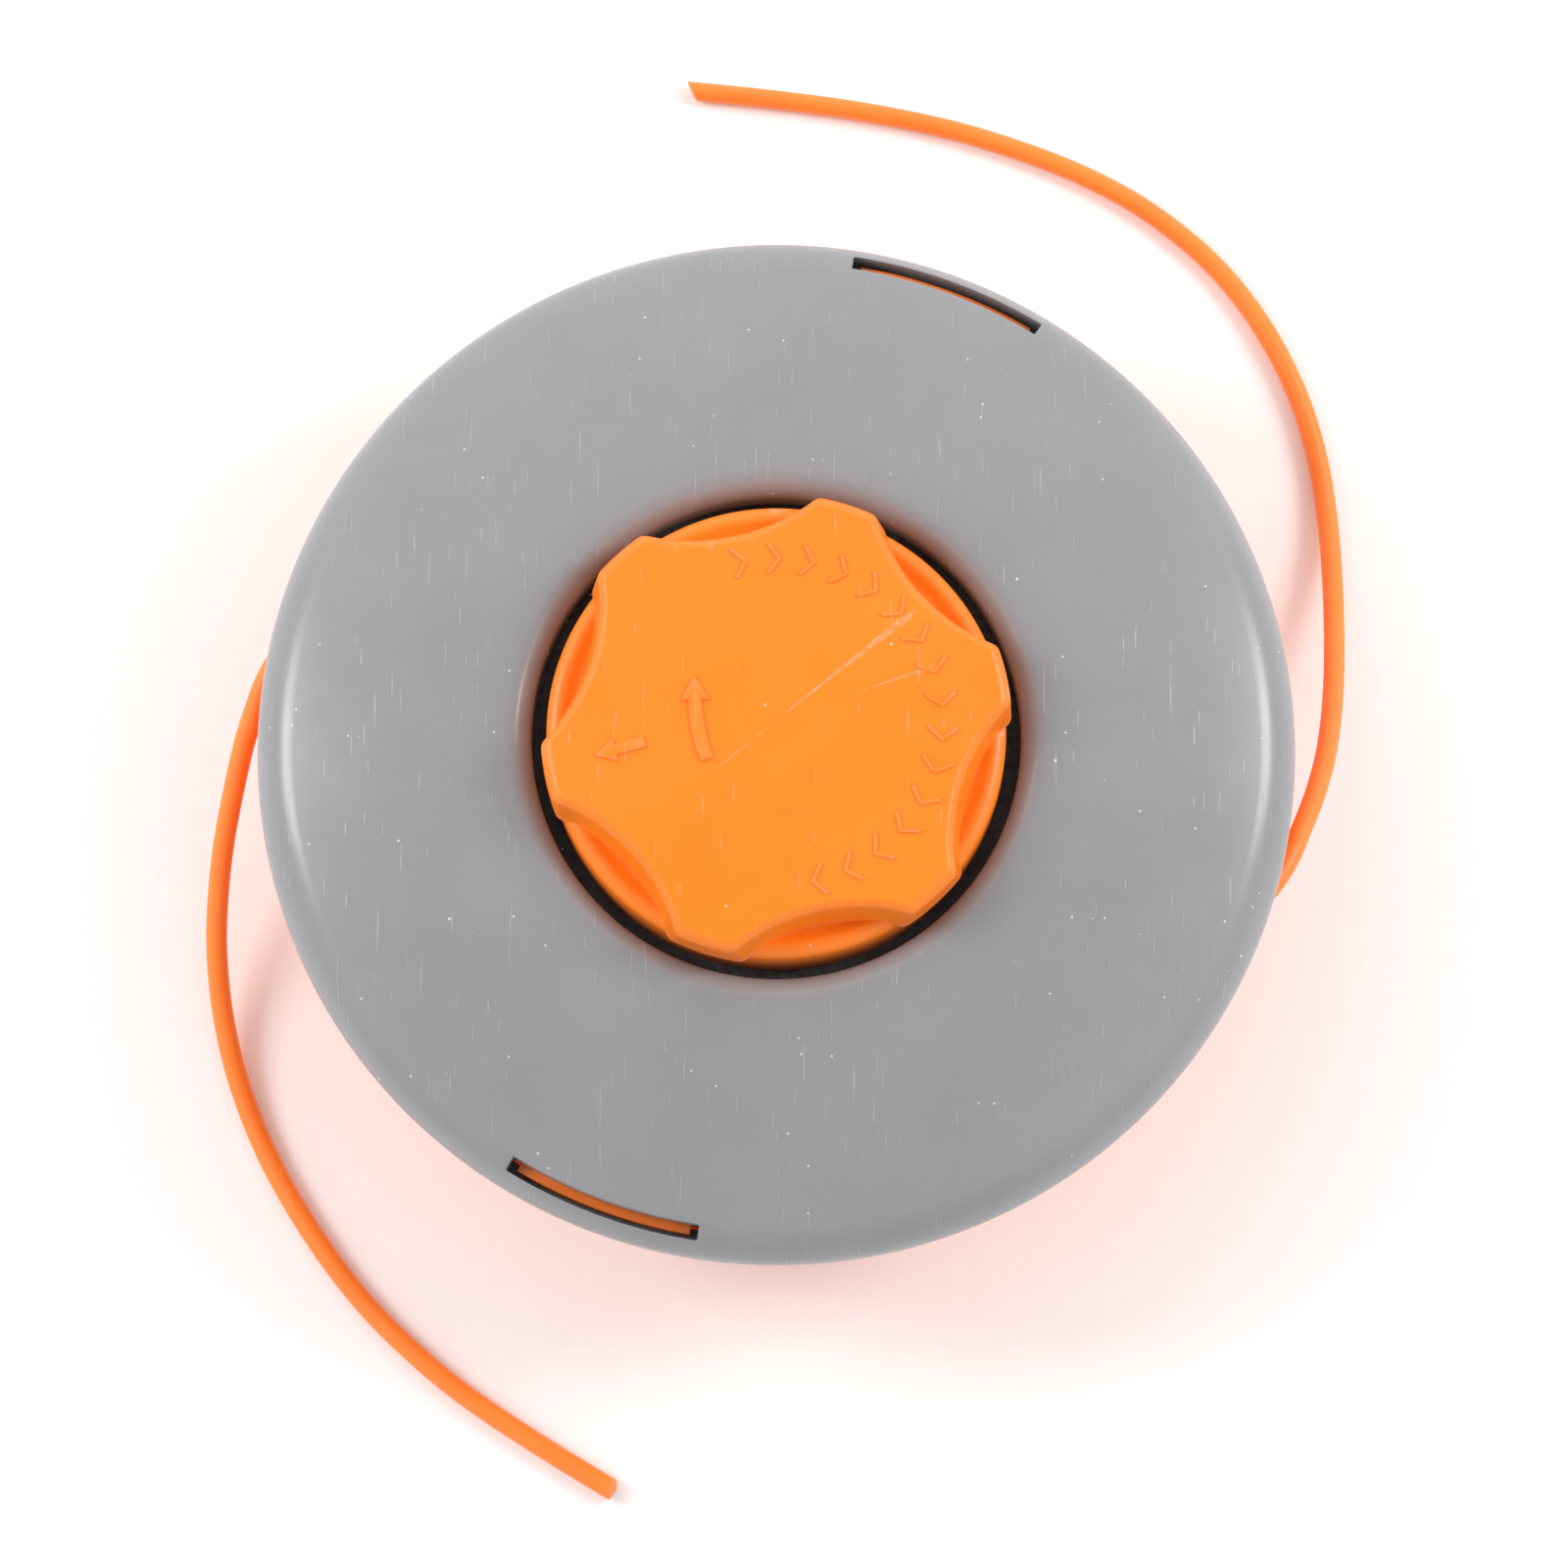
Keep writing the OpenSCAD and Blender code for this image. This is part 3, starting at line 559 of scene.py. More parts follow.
def make_floor():
    bm = bmesh.new()
    bmesh.ops.create_grid(bm, x_segments=1, y_segments=1, size=3.0)
    mesh = bpy.data.meshes.new("studio_floor")
    bm.to_mesh(mesh)
    bm.free()
    material, tree, shader = new_material("white_paper")
    fibre = noise_value(tree, object_point(tree), 220.0, 4.0)
    tree.links.new(blend_colour(tree, fibre, (0.93, 0.93, 0.93), (0.95, 0.95, 0.95)), shader.inputs["Base Color"])
    shader.inputs["Roughness"].default_value = 0.8
    shader.inputs["Specular IOR Level"].default_value = 0.2
    mesh.materials.append(material)
    floor = bpy.data.objects.new("studio_floor", mesh)
    bpy.context.scene.collection.objects.link(floor)


def softbox(name, azimuth, elevation, distance, size, power, tint=(1, 1, 1)):
    """A rectangular area light that faces the head. Azimuth 0 is +X and 90 is +Y."""
    light = bpy.data.lights.new(name, "AREA")
    light.shape = "RECTANGLE"
    light.size, light.size_y = size
    light.energy = power
    light.color = tint
    direction = Vector((math.cos(azimuth) * math.cos(elevation), math.sin(azimuth) * math.cos(elevation),
                        math.sin(elevation)))
    lamp = bpy.data.objects.new(name, light)
    lamp.location = direction * distance + Vector((0, 0, 35 * mm))
    lamp.rotation_euler = direction.to_track_quat("Z", "Y").to_euler()
    bpy.context.scene.collection.objects.link(lamp)


def make_surround(strength):
    """A white surround that is bright all round and at the back, and darker overhead."""
    world = bpy.data.worlds.new("white_surround")
    bpy.context.scene.world = world
    world.use_nodes = True
    tree = world.node_tree
    way = place(tree, "SeparateXYZ", {0: place(tree, "TexCoord").outputs["Generated"]})
    overhead = remap(tree, way.outputs["Z"], 0.78, 0.97, 1.0, 0.28)
    rear = remap(tree, way.outputs["Y"], -0.6, 0.8, 0.85, 1.35)
    level = maths(tree, "MULTIPLY", maths(tree, "MULTIPLY", overhead, rear), strength)
    back = tree.nodes["Background"]
    tree.links.new(level, back.inputs["Strength"])
    back.inputs["Color"].default_value = (1.0, 1.0, 1.0, 1.0)


class TRIMMER_OT_stage(bpy.types.Operator):
    """Adds the camera, the white floor, the surround and the softboxes"""
    bl_idname = "trimmer.stage"
    bl_label = "Stage"

    def execute(self, context):
        stage = context.scene.head_stage
        make_camera()
        make_floor()
        make_surround(stage.sky)
        sides = (("left", math.radians(168)), ("right", math.radians(14)))
        for side, azimuth in sides:
            softbox("softbox_" + side, azimuth, math.radians(38), 0.9, (0.26, 0.34), stage.softbox)
        context.scene.view_settings.view_transform = "Standard"
        return {"FINISHED"}


# Cutting line

def smooth_route(route, per_span):
    """A smooth curve through the route's points."""
    points = [Vector(p) for p in route]
    ahead = points[1:] + [points[-1]]
    before = [points[0]] + points[:-1]
    lean = [(b - a) / 6 for a, b in zip(before, ahead)]
    path = []
    for i in range(len(points) - 1):
        handles = (points[i] + lean[i], points[i + 1] - lean[i + 1])
        span = interpolate_bezier(points[i], handles[0], handles[1], points[i + 1], per_span + 1)
        path += span[:-1]
    return path + [points[-1]]


def strand_tube(path, diameter, worn):
    """A round tube along the path, thinner towards the far end where the line is worn."""
    bm = bmesh.new()
    heading = (path[1] - path[0]).normalized()
    turn = Z_AXIS.rotation_difference(heading)
    made = bmesh.ops.create_circle(bm, segments=24, radius=diameter / 2,
                                   matrix=Matrix.Translation(path[0]) @ turn.to_matrix().to_4x4())
    ring = made["verts"]
    edges = list({e for v in ring for e in v.link_edges})
    width = 1.0
    for i in range(1, len(path)):
        ahead = path[min(i + 1, len(path) - 1)] - path[i - 1]
        swing = heading.rotation_difference(ahead.normalized()).to_matrix().to_4x4()
        heading = ahead.normalized()
        share = 1 + (worn - 1) * smooth_step(0.45, 1.0, i / (len(path) - 1))
        made = bmesh.ops.extrude_edge_only(bm, edges=edges)["geom"]
        ring = [g for g in made if isinstance(g, bmesh.types.BMVert)]
        edges = [g for g in made if isinstance(g, bmesh.types.BMEdge) and all(v in ring for v in g.verts)]
        grow = Matrix.Scale(share / width, 4)
        width = share
        bmesh.ops.transform(bm, verts=ring, space=Matrix.Identity(4),
                            matrix=Matrix.Translation(path[i]) @ swing @ grow @ Matrix.Translation(-path[i - 1]))
    return bm, heading


def cut_end(bm, point, normal):
    """Cuts the tube off square or aslant, closes it and breaks the new edge."""
    bmesh.ops.bisect_plane(bm, geom=bm.verts[:] + bm.edges[:] + bm.faces[:], plane_co=point,
                           plane_no=normal, clear_outer=True)
    rim = [e for e in bm.edges if e.is_boundary and all(abs((v.co - point).dot(normal)) < 1e-6 for v in e.verts)]
    bmesh.ops.contextual_create(bm, geom=rim)
    bmesh.ops.bevel(bm, geom=rim, offset=0.12 * mm, offset_type="OFFSET", segments=2, profile=0.5,
                    affect="EDGES", clamp_overlap=True, material=-1)


def make_strand(name, route, cut, worn):
    line = bpy.context.scene.head_line
    path = smooth_route(route, 4)
    bm, heading = strand_tube(path, line.diameter, worn)
    end = path[-1] - heading * 0.3 * mm
    cut_end(bm, end, (heading + cut).normalized())
    start_way = (path[0] - path[1]).normalized()
    cut_end(bm, path[0] - start_way * 0.05 * mm, start_way)
    bmesh.ops.recalc_face_normals(bm, faces=bm.faces[:])
    piece = finish_piece(name, bm, line_nylon(), "head",
                         replaces=("line_" + name,), smooth=math.radians(50))


class TRIMMER_OT_strands(bpy.types.Operator):
    """Adds the two free strands of cutting line"""
    bl_idname = "trimmer.strands"
    bl_label = "Strands"

    def execute(self, context):
        worn = context.scene.head_line.worn
        make_strand("strand_right", ROUTE_RIGHT, Vector((0, 0.12, 0.1)), worn)
        make_strand("strand_left", ROUTE_LEFT, Vector((0.35, 0.25, 0.45)), 1.0)
        return {"FINISHED"}


# Cover

class CoverSection:
    """The cover's section as two chains of points: outside, from skirt to collar, and inside."""

    def __init__(self, c):
        self.rim_c = (c.rim_r - c.rim_round, COVER_LOW.z + c.skirt_h)
        reach = c.dome_r - c.rim_round
        self.dome_c = (self.rim_c[0] - reach * math.sin(c.dome_slope),
                       self.rim_c[1] - reach * math.cos(c.dome_slope))
        lip_r = c.hole_r + c.lip_round
        self.lip_c = (lip_r, self.dome_c[1] + self.dome_up(c.dome_r - c.lip_round, lip_r))
        self.in_round = c.rim_round - c.wall
        steep = math.pi / 2 - c.dome_slope
        lip_a = math.atan2(self.lip_c[1] - self.dome_c[1], lip_r - self.dome_c[0])
        skirt_z = COVER_LOW.z
        in_r = c.rim_r - c.wall
        collar_r = c.hole_r + c.wall
        collar_z = self.lip_c[1] - c.collar_h
        self.out_cut = [self.rim_angle(c.window_out_r, c.rim_round), self.rim_angle(c.window_in_r, c.rim_round)]
        self.in_cut = [math.radians(6), self.rim_angle(c.window_in_r, self.in_round)]
        in_dome = c.dome_r - c.wall
        collar_a = math.acos((collar_r - self.dome_c[0]) / in_dome)
        self.points = (
            [(in_r, skirt_z), (c.rim_r - 0.7 * mm, skirt_z), (c.rim_r - 0.3 * mm, skirt_z + 0.4 * mm)]
            + arc_points(self.rim_c, c.rim_round, 0, self.out_cut[0], 8)
            + arc_points(self.rim_c, c.rim_round, self.out_cut[0], self.out_cut[1], 4)[1:]
            + arc_points(self.rim_c, c.rim_round, self.out_cut[1], steep, 3)[1:]
            + arc_points(self.dome_c, c.dome_r, steep, lip_a, 12)[1:]
            + arc_points(self.lip_c, c.lip_round, lip_a, math.pi, 16)[1:]
            + [(c.hole_r, (self.lip_c[1] + collar_z) / 2), (c.hole_r, collar_z), (collar_r, collar_z)]
            + arc_points(self.dome_c, in_dome, collar_a, steep, 8)
            + arc_points(self.rim_c, self.in_round, steep, self.in_cut[1], 3)[1:]
            + arc_points(self.rim_c, self.in_round, self.in_cut[1], self.in_cut[0], 4)[1:]
        )

    def dome_up(self, radius, x):
        """Height of a dome circle over its centre, at distance x from the axis."""
        return math.sqrt(radius ** 2 - (x - self.dome_c[0]) ** 2)

    def dome_in_z(self, c, x):
        """Height of the dome's inner face."""
        return self.dome_c[1] + self.dome_up(c.dome_r - c.wall, x)

    def rim_angle(self, r, radius):
        """Angle on a rim circle at distance r from the axis."""
        return math.acos((r - self.rim_c[0]) / radius)


def angle_off(point, middle):
    """How far a point lies from an angle round the axis."""
    return abs((math.atan2(point.y, point.x) - middle + math.pi) % (2 * math.pi) - math.pi)


def open_window(bm, section, cover, middle):
    """Takes the faces out of both skins of the cover and joins the two openings by walls."""
    half = math.radians(cover.window_arc) / 2
    gone = []
    for face in bm.faces:
        spot = face.calc_center_median()
        if angle_off(spot, middle) > half:
            continue
        from_rim = Vector((math.hypot(spot.x, spot.y) - section.rim_c[0], spot.z - section.rim_c[1]))
        lean = math.atan2(from_rim.y, from_rim.x)
        on_out = abs(from_rim.length - cover.rim_round) < 0.3 * mm
        cut = section.out_cut if on_out else section.in_cut
        if (on_out or abs(from_rim.length - section.in_round) < 0.3 * mm) and cut[0] < lean < cut[1]:
            gone.append(face)
    bmesh.ops.delete(bm, geom=gone, context="FACES")
    rims = [e for e in bm.edges if e.is_boundary]
    bmesh.ops.bridge_loops(bm, edges=rims)


def ring_block(bm, r1, r2, z1, z2, middle, arc, steps):
    """A closed sector of a ring with a rectangular section."""
    start = middle - arc / 2
    verts, last = revolve(bm, [(r1, z1), (r2, z1), (r2, z2), (r1, z2)], steps, start=start, angle=arc)
    bm.faces.new(verts)
    bm.faces.new([g for g in last if isinstance(g, bmesh.types.BMVert)])


def hanging_teeth(bm, base_z, foot):
    """A ring of teeth that hang from base_z, each with one upright and one sloping flank."""
    half = TOOTH_HALF
    side = [(-half - TOOTH_H, 0), (-half - TOOTH_H, -foot), (half, -foot), (half, TOOTH_H), (-half, TOOTH_H)]
    for i in range(TOOTH_COUNT):
        turn = Matrix.Rotation(TOOTH_PHASE + i * 2 * math.pi / TOOTH_COUNT, 3, "Z")
        verts = [bm.verts.new(turn @ Vector((TOOTH_R, -y, base_z - z))) for y, z in side]
        made = bmesh.ops.extrude_face_region(bm, geom=[bm.faces.new(verts)])["geom"]
        moved = [g for g in made if isinstance(g, bmesh.types.BMVert)]
        bmesh.ops.translate(bm, verts=moved, vec=turn @ Vector((TOOTH_W, 0, 0)))


class TRIMMER_OT_cover(bpy.types.Operator):
    """Adds the grey cover with its latch windows, catch bars and feed teeth"""
    bl_idname = "trimmer.cover"
    bl_label = "Cover"

    def execute(self, context):
        cover = context.scene.head_cover
        section = CoverSection(cover)
        bm = bmesh.new()
        first_end = cover.window_angle - math.radians(cover.window_arc) / 2
        revolve(bm, section.points, 360, start=first_end)
        for turn in (0, math.pi):
            open_window(bm, section, cover, cover.window_angle + turn)
        bmesh.ops.recalc_face_normals(bm, faces=bm.faces[:])
        soften(bm, 0.16 * mm, least=math.radians(28))
        catch_top = section.rim_c[1] + CATCH_RISE
        catch_arc = cover.window_arc + CATCH_SPARE_ARC
        for turn in (0, math.pi):
            ring_block(bm, cover.window_in_r, cover.rim_r - cover.wall + 0.5 * mm, catch_top - CATCH_H,
                       catch_top, cover.window_angle + turn, math.radians(catch_arc), catch_arc)
        tooth_z = section.rim_c[1] + TOOTH_RISE
        hanging_teeth(bm, tooth_z, section.dome_in_z(cover, TOOTH_R + TOOTH_W) - tooth_z + 0.8 * mm)
        bmesh.ops.recalc_face_normals(bm, faces=bm.faces[:])
        finish_piece("cover_shell", bm, cover_plastic(), "head", replaces=("lower_cover",))
        return {"FINISHED"}


# Knob

def arc_on(bm, vert, centre, angle, steps):
    """Carries a wire outline on along an arc about centre, and gives its new end."""
    made = bmesh.ops.spin(bm, geom=[vert], cent=centre, axis=Z_AXIS, angle=angle, steps=steps)
    return next(g for g in made["geom_last"] if isinstance(g, bmesh.types.BMVert))


def lobe_outline(bm, knob, z, tip_grow=0.0, grip_grow=0.0):
    """The knob's lobed outline at one height: tips, rounded corners and finger grips as arcs.
    The outline grows outwards by tip_grow at the tips and grip_grow in the grips."""
    known = set(bm.verts)
    reach = knob.grip_r + knob.grip_round
    tip_r = knob.tip_r + tip_grow
    grip = knob.grip_round - grip_grow
    corner = knob.corner_round
    inner = tip_r - corner
    outer = grip + corner
    at_axis = math.acos((reach ** 2 + inner ** 2 - outer ** 2) / (2 * reach * inner))
    at_grip = math.acos((reach ** 2 + outer ** 2 - inner ** 2) / (2 * reach * outer))
    pitch = 2 * math.pi / knob.lobe_count
    tip_half = pitch / 2 - at_axis
    last = bm.verts.new(polar(tip_r, knob.lobe_angle, z))
    for i in range(knob.lobe_count):
        middle = knob.lobe_angle + i * pitch
        grip_c = polar(reach, middle + pitch / 2, z)
        last = arc_on(bm, last, (0, 0, z), tip_half, 4)
        last = arc_on(bm, last, polar(inner, middle + tip_half, z), at_axis + at_grip, 6)
        last = arc_on(bm, last, grip_c, -2 * at_grip, 72)
        last = arc_on(bm, last, polar(inner, middle + pitch - tip_half, z), at_axis + at_grip, 6)
        last = arc_on(bm, last, (0, 0, z), tip_half, 4)
    ring = [v for v in bm.verts if v not in known]
    bmesh.ops.remove_doubles(bm, verts=ring, dist=0.001 * mm)
    ring = [v for v in bm.verts if v not in known]
    return list({e for v in ring for e in v.link_edges})


def extrude_loop(bm, edges, place_vert):
    """Extrudes an edge loop and gives each new vertex its place."""
    made = bmesh.ops.extrude_edge_only(bm, edges=edges)["geom"]
    verts = [g for g in made if isinstance(g, bmesh.types.BMVert)]
    loop = [g for g in made if isinstance(g, bmesh.types.BMEdge) and all(v in verts for v in g.verts)]
    for v in verts:
        v.co = place_vert(v.co)
    return loop


def close_loop(bm, edges):
    """Closes an edge loop round the axis with a fan."""
    verts = list({v for e in edges for v in e.verts})
    middle = sum((v.co for v in verts), Vector()) / len(verts)
    made = bmesh.ops.extrude_edge_only(bm, edges=edges)["geom"]
    new = [g for g in made if isinstance(g, bmesh.types.BMVert)]
    bmesh.ops.pointmerge(bm, verts=new, merge_co=middle)


def crown_rise(knob, r):
    """Rise of the knob's face at distance r from the axis."""
    edge_r = knob.tip_r - knob.edge_round
    return (KNOB_HIGH.z - knob.ring_z - knob.lobe_h) * max(0.0, 1 - (r / edge_r) ** 2)


def face_z(knob, r):
    """Height of the knob's face at distance r from the axis."""
    return knob.ring_z + knob.lobe_h + crown_rise(knob, r)


def crown_and_chip(bm, knob):
    """Gives the face its crown, and the grips' top edge its ragged, chipped look."""
    top = knob.ring_z + knob.lobe_h
    for v in bm.verts:
        r = math.hypot(v.co.x, v.co.y)
        up = smooth_step(knob.ring_z, top, v.co.z)
        in_grip = 1 - smooth_step(knob.tip_r - 2.2 * mm, knob.tip_r - 0.8 * mm, r)
        near_edge = smooth_step(top - 1.6 * mm, top - 0.7 * mm, v.co.z) * smooth_step(22.6 * mm, 23.6 * mm, r)
        rough = noise.turbulence(v.co * 1500, 3, True) - 0.5
        fine = noise.noise(v.co * 3600)
        out = Vector((v.co.x, v.co.y, 0)).normalized() if r > 1e-6 else Vector()
        chip = in_grip * near_edge * (0.2 * rough + 0.08 * fine) * mm
        v.co.z += crown_rise(knob, r) * up - 0.5 * abs(chip)
        v.co += out * chip


def lobed_body(knob):
    """The lobed body as a loft through outlines, with its crowned face and its hollow."""
    bm = bmesh.new()
    top = knob.ring_z + knob.lobe_h
    foot = knob.ring_z - 1.0 * mm
    draft = math.tan(knob.draft)
    chamfer = GRIP_CHAMFER
    levels = [(foot, FOOT_GROW, (top - foot) * draft)]
    for share in (0.3, 0.6, 0.8, 0.9):
        z = foot + (top - chamfer - foot) * share
        levels.append((z, FOOT_GROW * (1 - share), (top - z) * draft))
    for i in range(7):
        turn = math.pi / 2 * i / 6
        z = top - knob.edge_round * (1 - math.sin(turn))
        if z > levels[-1][0] + 0.1 * mm:
            grip_in = max(0.0, (z - (top - chamfer)) / chamfer)
            levels.append((z, -knob.edge_round * (1 - math.cos(turn)), (top - z) * draft - chamfer * grip_in))
    loops = [lobe_outline(bm, knob, *level) for level in levels]
    for lower, upper in zip(loops, loops[1:]):
        bmesh.ops.bridge_loops(bm, edges=lower + upper)
    loop = loops[-1]
    done = 1.0
    for share in (0.985, 0.96, 0.92, 0.86, 0.76, 0.62, 0.46, 0.3, 0.14):
        ratio = share / done
        done = share
        loop = extrude_loop(bm, loop, lambda co: Vector((co.x * ratio, co.y * ratio, co.z)))
    close_loop(bm, loop)
    hollow_r = knob.grip_r - knob.wall
    ceiling = top - knob.wall
    loop = extrude_loop(bm, loops[0], lambda co: co.to_2d().normalized().to_3d() * hollow_r + Z_AXIS * foot)
    loop = extrude_loop(bm, loop, lambda co: Vector((co.x, co.y, ceiling)))
    close_loop(bm, loop)
    bmesh.ops.recalc_face_normals(bm, faces=bm.faces[:])
    crown_and_chip(bm, knob)
    return bm


def knob_ring(bm, knob):
    """The ring at the knob's foot, its skirt and the hollow under it."""
    groove = GROOVE_DEPTH
    edge = knob.edge_round
    skirt_z = KNOB_LOW.z
    hollow_r = knob.grip_r - knob.wall
    section = (
        [(knob.ring_r - knob.wall, skirt_z), (knob.ring_r, skirt_z)]
        + arc_points((knob.ring_r - edge, knob.ring_z - edge), edge, 0, math.pi / 2, 9)
        + [(knob.ring_r - edge - 0.5 * mm, knob.ring_z - 0.08 * mm)]
        + [(knob.ring_r - edge - 1.1 * mm, knob.ring_z - groove * 0.8)]
        + [(knob.ring_r - edge - 1.7 * mm, knob.ring_z - groove), (hollow_r, knob.ring_z - groove)]
        + [(hollow_r, knob.ring_z - knob.wall), (knob.ring_r - knob.wall, knob.ring_z - knob.wall)]
    )
    revolve(bm, section, 256)


def knob_bosses(bm, knob):
    """Three bosses inside the knob for the screws that hold it."""
    screw_r = SCREWS_HIGH.x - SCREW_HEAD_R
    top = knob.ring_z + knob.lobe_h - knob.wall + 0.4 * mm
    for i in range(3):
        spot = polar(screw_r, i * 2 * math.pi / 3)
        section = [(BOSS_HOLE_R, KNOB_LOW.z), (BOSS_R, KNOB_LOW.z), (BOSS_R, top), (BOSS_HOLE_R, top)]
        verts = [bm.verts.new(Vector((r, 0, z)) + spot) for r, z in section]
        edges = [bm.edges.new(pair) for pair in zip(verts, verts[1:] + verts[:1])]
        bmesh.ops.spin(bm, geom=verts + edges, cent=spot, axis=Z_AXIS, angle=2 * math.pi, steps=32,
                       use_merge=True)


class TRIMMER_OT_knob(bpy.types.Operator):
    """Adds the lobed knob with its ring and screw bosses"""
    bl_idname = "trimmer.knob"
    bl_label = "Knob"

    def execute(self, context):
        knob = context.scene.head_knob
        bm = lobed_body(knob)
        knob_ring(bm, knob)
        knob_bosses(bm, knob)
        bmesh.ops.recalc_face_normals(bm, faces=bm.faces[:])
        finish_piece("feed_knob", bm, knob_plastic(), "spool", replaces=("bump_knob",),
                     smooth=math.radians(55))
        return {"FINISHED"}


# Raised marks on the knob

def raised_mark(bm, outline, knob, rise=0.26 * mm, sink=0.3 * mm):
    """Raises a flat outline of (x, y) points out of the knob's crowned face."""
    face = bm.faces.new([bm.verts.new((x, y, 0)) for x, y in outline])
    made = bmesh.ops.extrude_face_region(bm, geom=[face])["geom"]
    top = [g for g in made if isinstance(g, bmesh.types.BMVert)]
    for v in face.verts:
        v.co.z = face_z(knob, v.co.to_2d().length) - sink
    for v in top:
        v.co.z = face_z(knob, v.co.to_2d().length) + rise
    return top


def curved_arrow():
    """An arrow that runs along an arc: the way the head turns."""
    centre = Vector((11.9, 3.2)) * mm
    arc_r, half = 21.9 * mm, 0.8 * mm
    tail, neck = math.radians(201.5), math.radians(181.5)
    angles = [tail + (neck - tail) * i / 10 for i in range(11)]
    outside = [centre + Vector((math.cos(a), math.sin(a))) * (arc_r + half) for a in angles]
    inside = [centre + Vector((math.cos(a), math.sin(a))) * (arc_r - half) for a in reversed(angles)]
    neck_at = centre + Vector((math.cos(neck), math.sin(neck))) * arc_r
    side = (neck_at - centre).normalized()
    ahead = Vector((side.y, -side.x))
    head = [neck_at + side * 1.8 * mm - ahead * 0.1 * mm, neck_at + ahead * 3.0 * mm,
            neck_at - side * 1.8 * mm - ahead * 0.1 * mm]
    return outside + head + inside


def straight_arrow():
    """A short arrow that points outwards."""
    tip = Vector((-22.3, -4.3)) * mm
    tail = Vector((-16.2, -2.6)) * mm
    ahead = (tip - tail).normalized()
    side = Vector((-ahead.y, ahead.x))
    neck = tip - ahead * 2.6 * mm
    half, wide = 0.65 * mm, 1.4 * mm
    return [tail + side * half, tail - side * half, neck - side * half, neck - side * wide, tip,
            neck + side * wide, neck + side * half]


def chevron(middle, r, height, reach, stroke):
    """An open arrowhead at radius r that points clockwise round the face."""
    out = Vector((math.cos(middle), math.sin(middle)))
    ahead = Vector((out.y, -out.x))
    half = height / 2
    centre = out * r
    point = centre + ahead * reach / 2
    tails = [centre + out * half - ahead * reach / 2, centre - out * half - ahead * reach / 2]
    back = ahead * stroke * 1.3
    return [tails[0], point, tails[1], tails[1] - back, point - back, tails[0] - back]


class TRIMMER_OT_marks(bpy.types.Operator):
    """Raises the arrows and a row of plain chevrons on the knob's face"""
    bl_idname = "trimmer.marks"
    bl_label = "Knob marks"

    def execute(self, context):
        knob = context.scene.head_knob
        bm = bmesh.new()
        raised_mark(bm, curved_arrow(), knob)
        raised_mark(bm, straight_arrow(), knob)
        first, last, count = math.radians(-76), math.radians(102), 16
        for i in range(count):
            middle = first + (last - first) * i / (count - 1)
            raised_mark(bm, chevron(middle, 20.5 * mm, 3.8 * mm, 1.5 * mm, 0.42 * mm), knob, rise=0.2 * mm)
        bmesh.ops.recalc_face_normals(bm, faces=bm.faces[:])
        soften(bm, 0.08 * mm, segments=2, least=math.radians(40),
               keep=lambda e: all(v.co.z > face_z(knob, v.co.to_2d().length) for v in e.verts))
        finish_piece("knob_marks", bm, knob_plastic(), "spool")
        return {"FINISHED"}


# Housing, spool and metal pieces

def paint(node, material):
    """Gives a CAD node its finish."""
    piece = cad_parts[node]
    piece.data.materials.clear()
    piece.data.materials.append(material)


class TRIMMER_OT_housing(bpy.types.Operator):
    """Dresses the orange housing"""
    bl_idname = "trimmer.housing"
    bl_label = "Housing"

    def execute(self, context):
        softened_copy("upper_housing", "housing_shell", housing_plastic(), "head", 0.25 * mm)
        return {"FINISHED"}


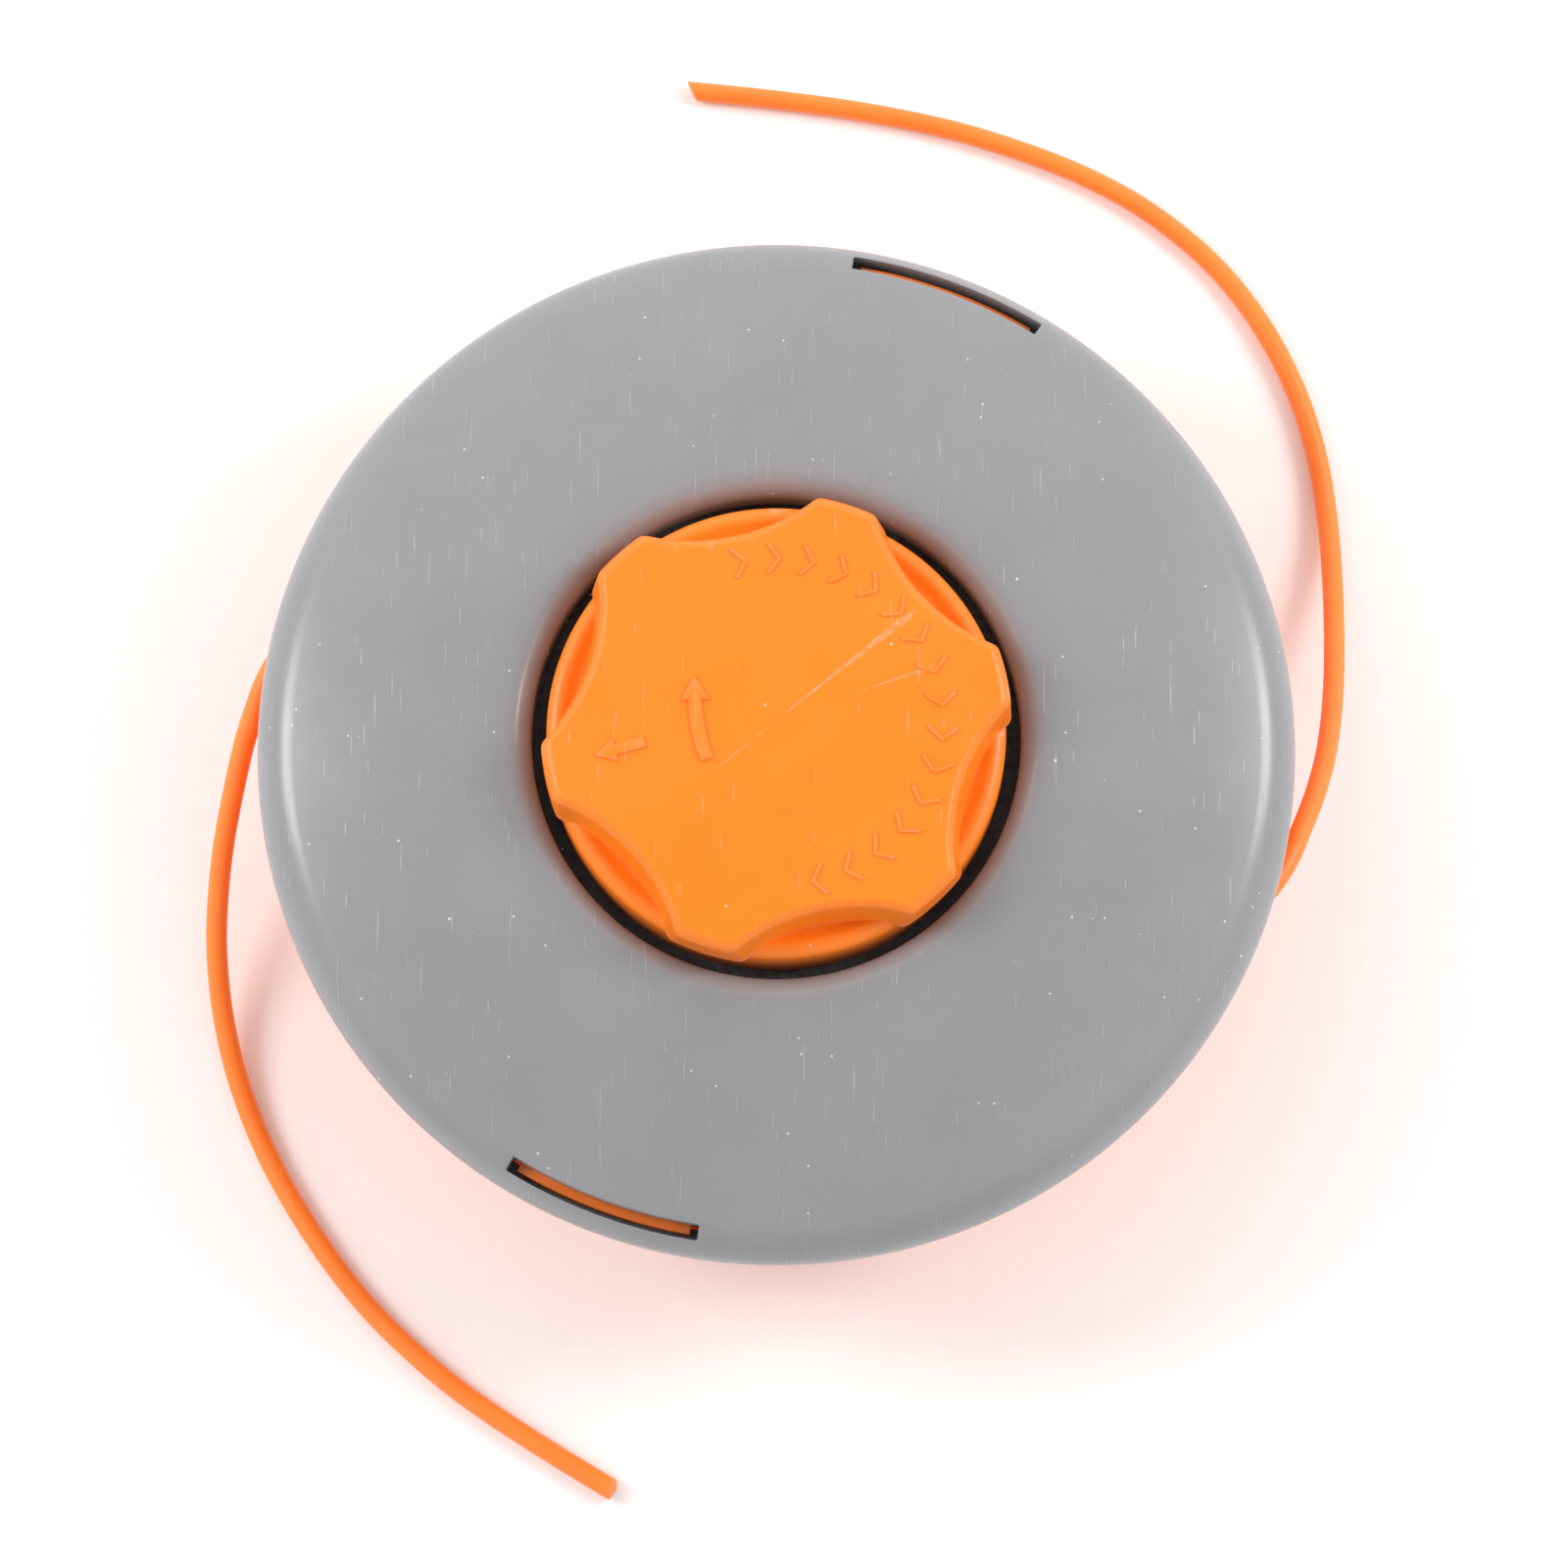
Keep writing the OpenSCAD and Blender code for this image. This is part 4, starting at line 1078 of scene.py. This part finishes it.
class TRIMMER_OT_spool(bpy.types.Operator):
    """Dresses the spool and the line wound on it"""
    bl_idname = "trimmer.spool"
    bl_label = "Spool"

    def execute(self, context):
        for node in ("spool_drum", "spool_top"):
            paint(node, spool_plastic())
        for node in ("winding_lower", "winding_upper"):
            paint(node, line_nylon())
        return {"FINISHED"}


class TRIMMER_OT_metal(bpy.types.Operator):
    """Dresses the nut, eyelets, spring, washer and screws"""
    bl_idname = "trimmer.metal"
    bl_label = "Metal pieces"

    def execute(self, context):
        steel = metal("zinc_plated_steel", (0.6, 0.6, 0.62), 0.3)
        eyelet = metal("turned_aluminium", (0.75, 0.75, 0.76), 0.26, rings=0.6)
        for node in ("spring_washer", "knob_screws", "feed_spring"):
            paint(node, steel)
        softened_copy("drive_nut", "hex_nut", steel, "head", 0.2 * mm)
        for side in ("right", "left"):
            softened_copy("eyelet_" + side, "line_eyelet_" + side, eyelet, "head", 0.12 * mm)
        return {"FINISHED"}


class TRIMMER_PT_panel(bpy.types.Panel):
    """Lists the trimmer head's operators and sizes"""
    bl_idname = "TRIMMER_PT_panel"
    bl_label = "Trimmer head"
    bl_space_type = "VIEW_3D"
    bl_region_type = "UI"
    bl_category = "Trimmer head"

    def draw(self, context):
        for operator in OPERATORS:
            self.layout.operator(operator.bl_idname)
        for name, group in SETTINGS.items():
            box = self.layout.box()
            for key in group.__annotations__:
                box.prop(getattr(context.scene, name), key)


OPERATORS = (TRIMMER_OT_stage, TRIMMER_OT_strands, TRIMMER_OT_cover, TRIMMER_OT_knob, TRIMMER_OT_marks,
             TRIMMER_OT_housing, TRIMMER_OT_spool, TRIMMER_OT_metal)


def register():
    for group in SETTINGS.values():
        bpy.utils.register_class(group)
    for name, group in SETTINGS.items():
        setattr(bpy.types.Scene, name, bpy.props.PointerProperty(type=group))
    for cls in OPERATORS + (TRIMMER_PT_panel,):
        bpy.utils.register_class(cls)


def unregister():
    for cls in reversed(OPERATORS + (TRIMMER_PT_panel,)):
        bpy.utils.unregister_class(cls)
    for name, group in SETTINGS.items():
        delattr(bpy.types.Scene, name)
        bpy.utils.unregister_class(group)


def main():
    register()
    for step in ("stage", "strands", "cover", "knob", "marks", "housing", "spool", "metal"):
        getattr(bpy.ops.trimmer, step)()


if __name__ == "__main__":
    main()
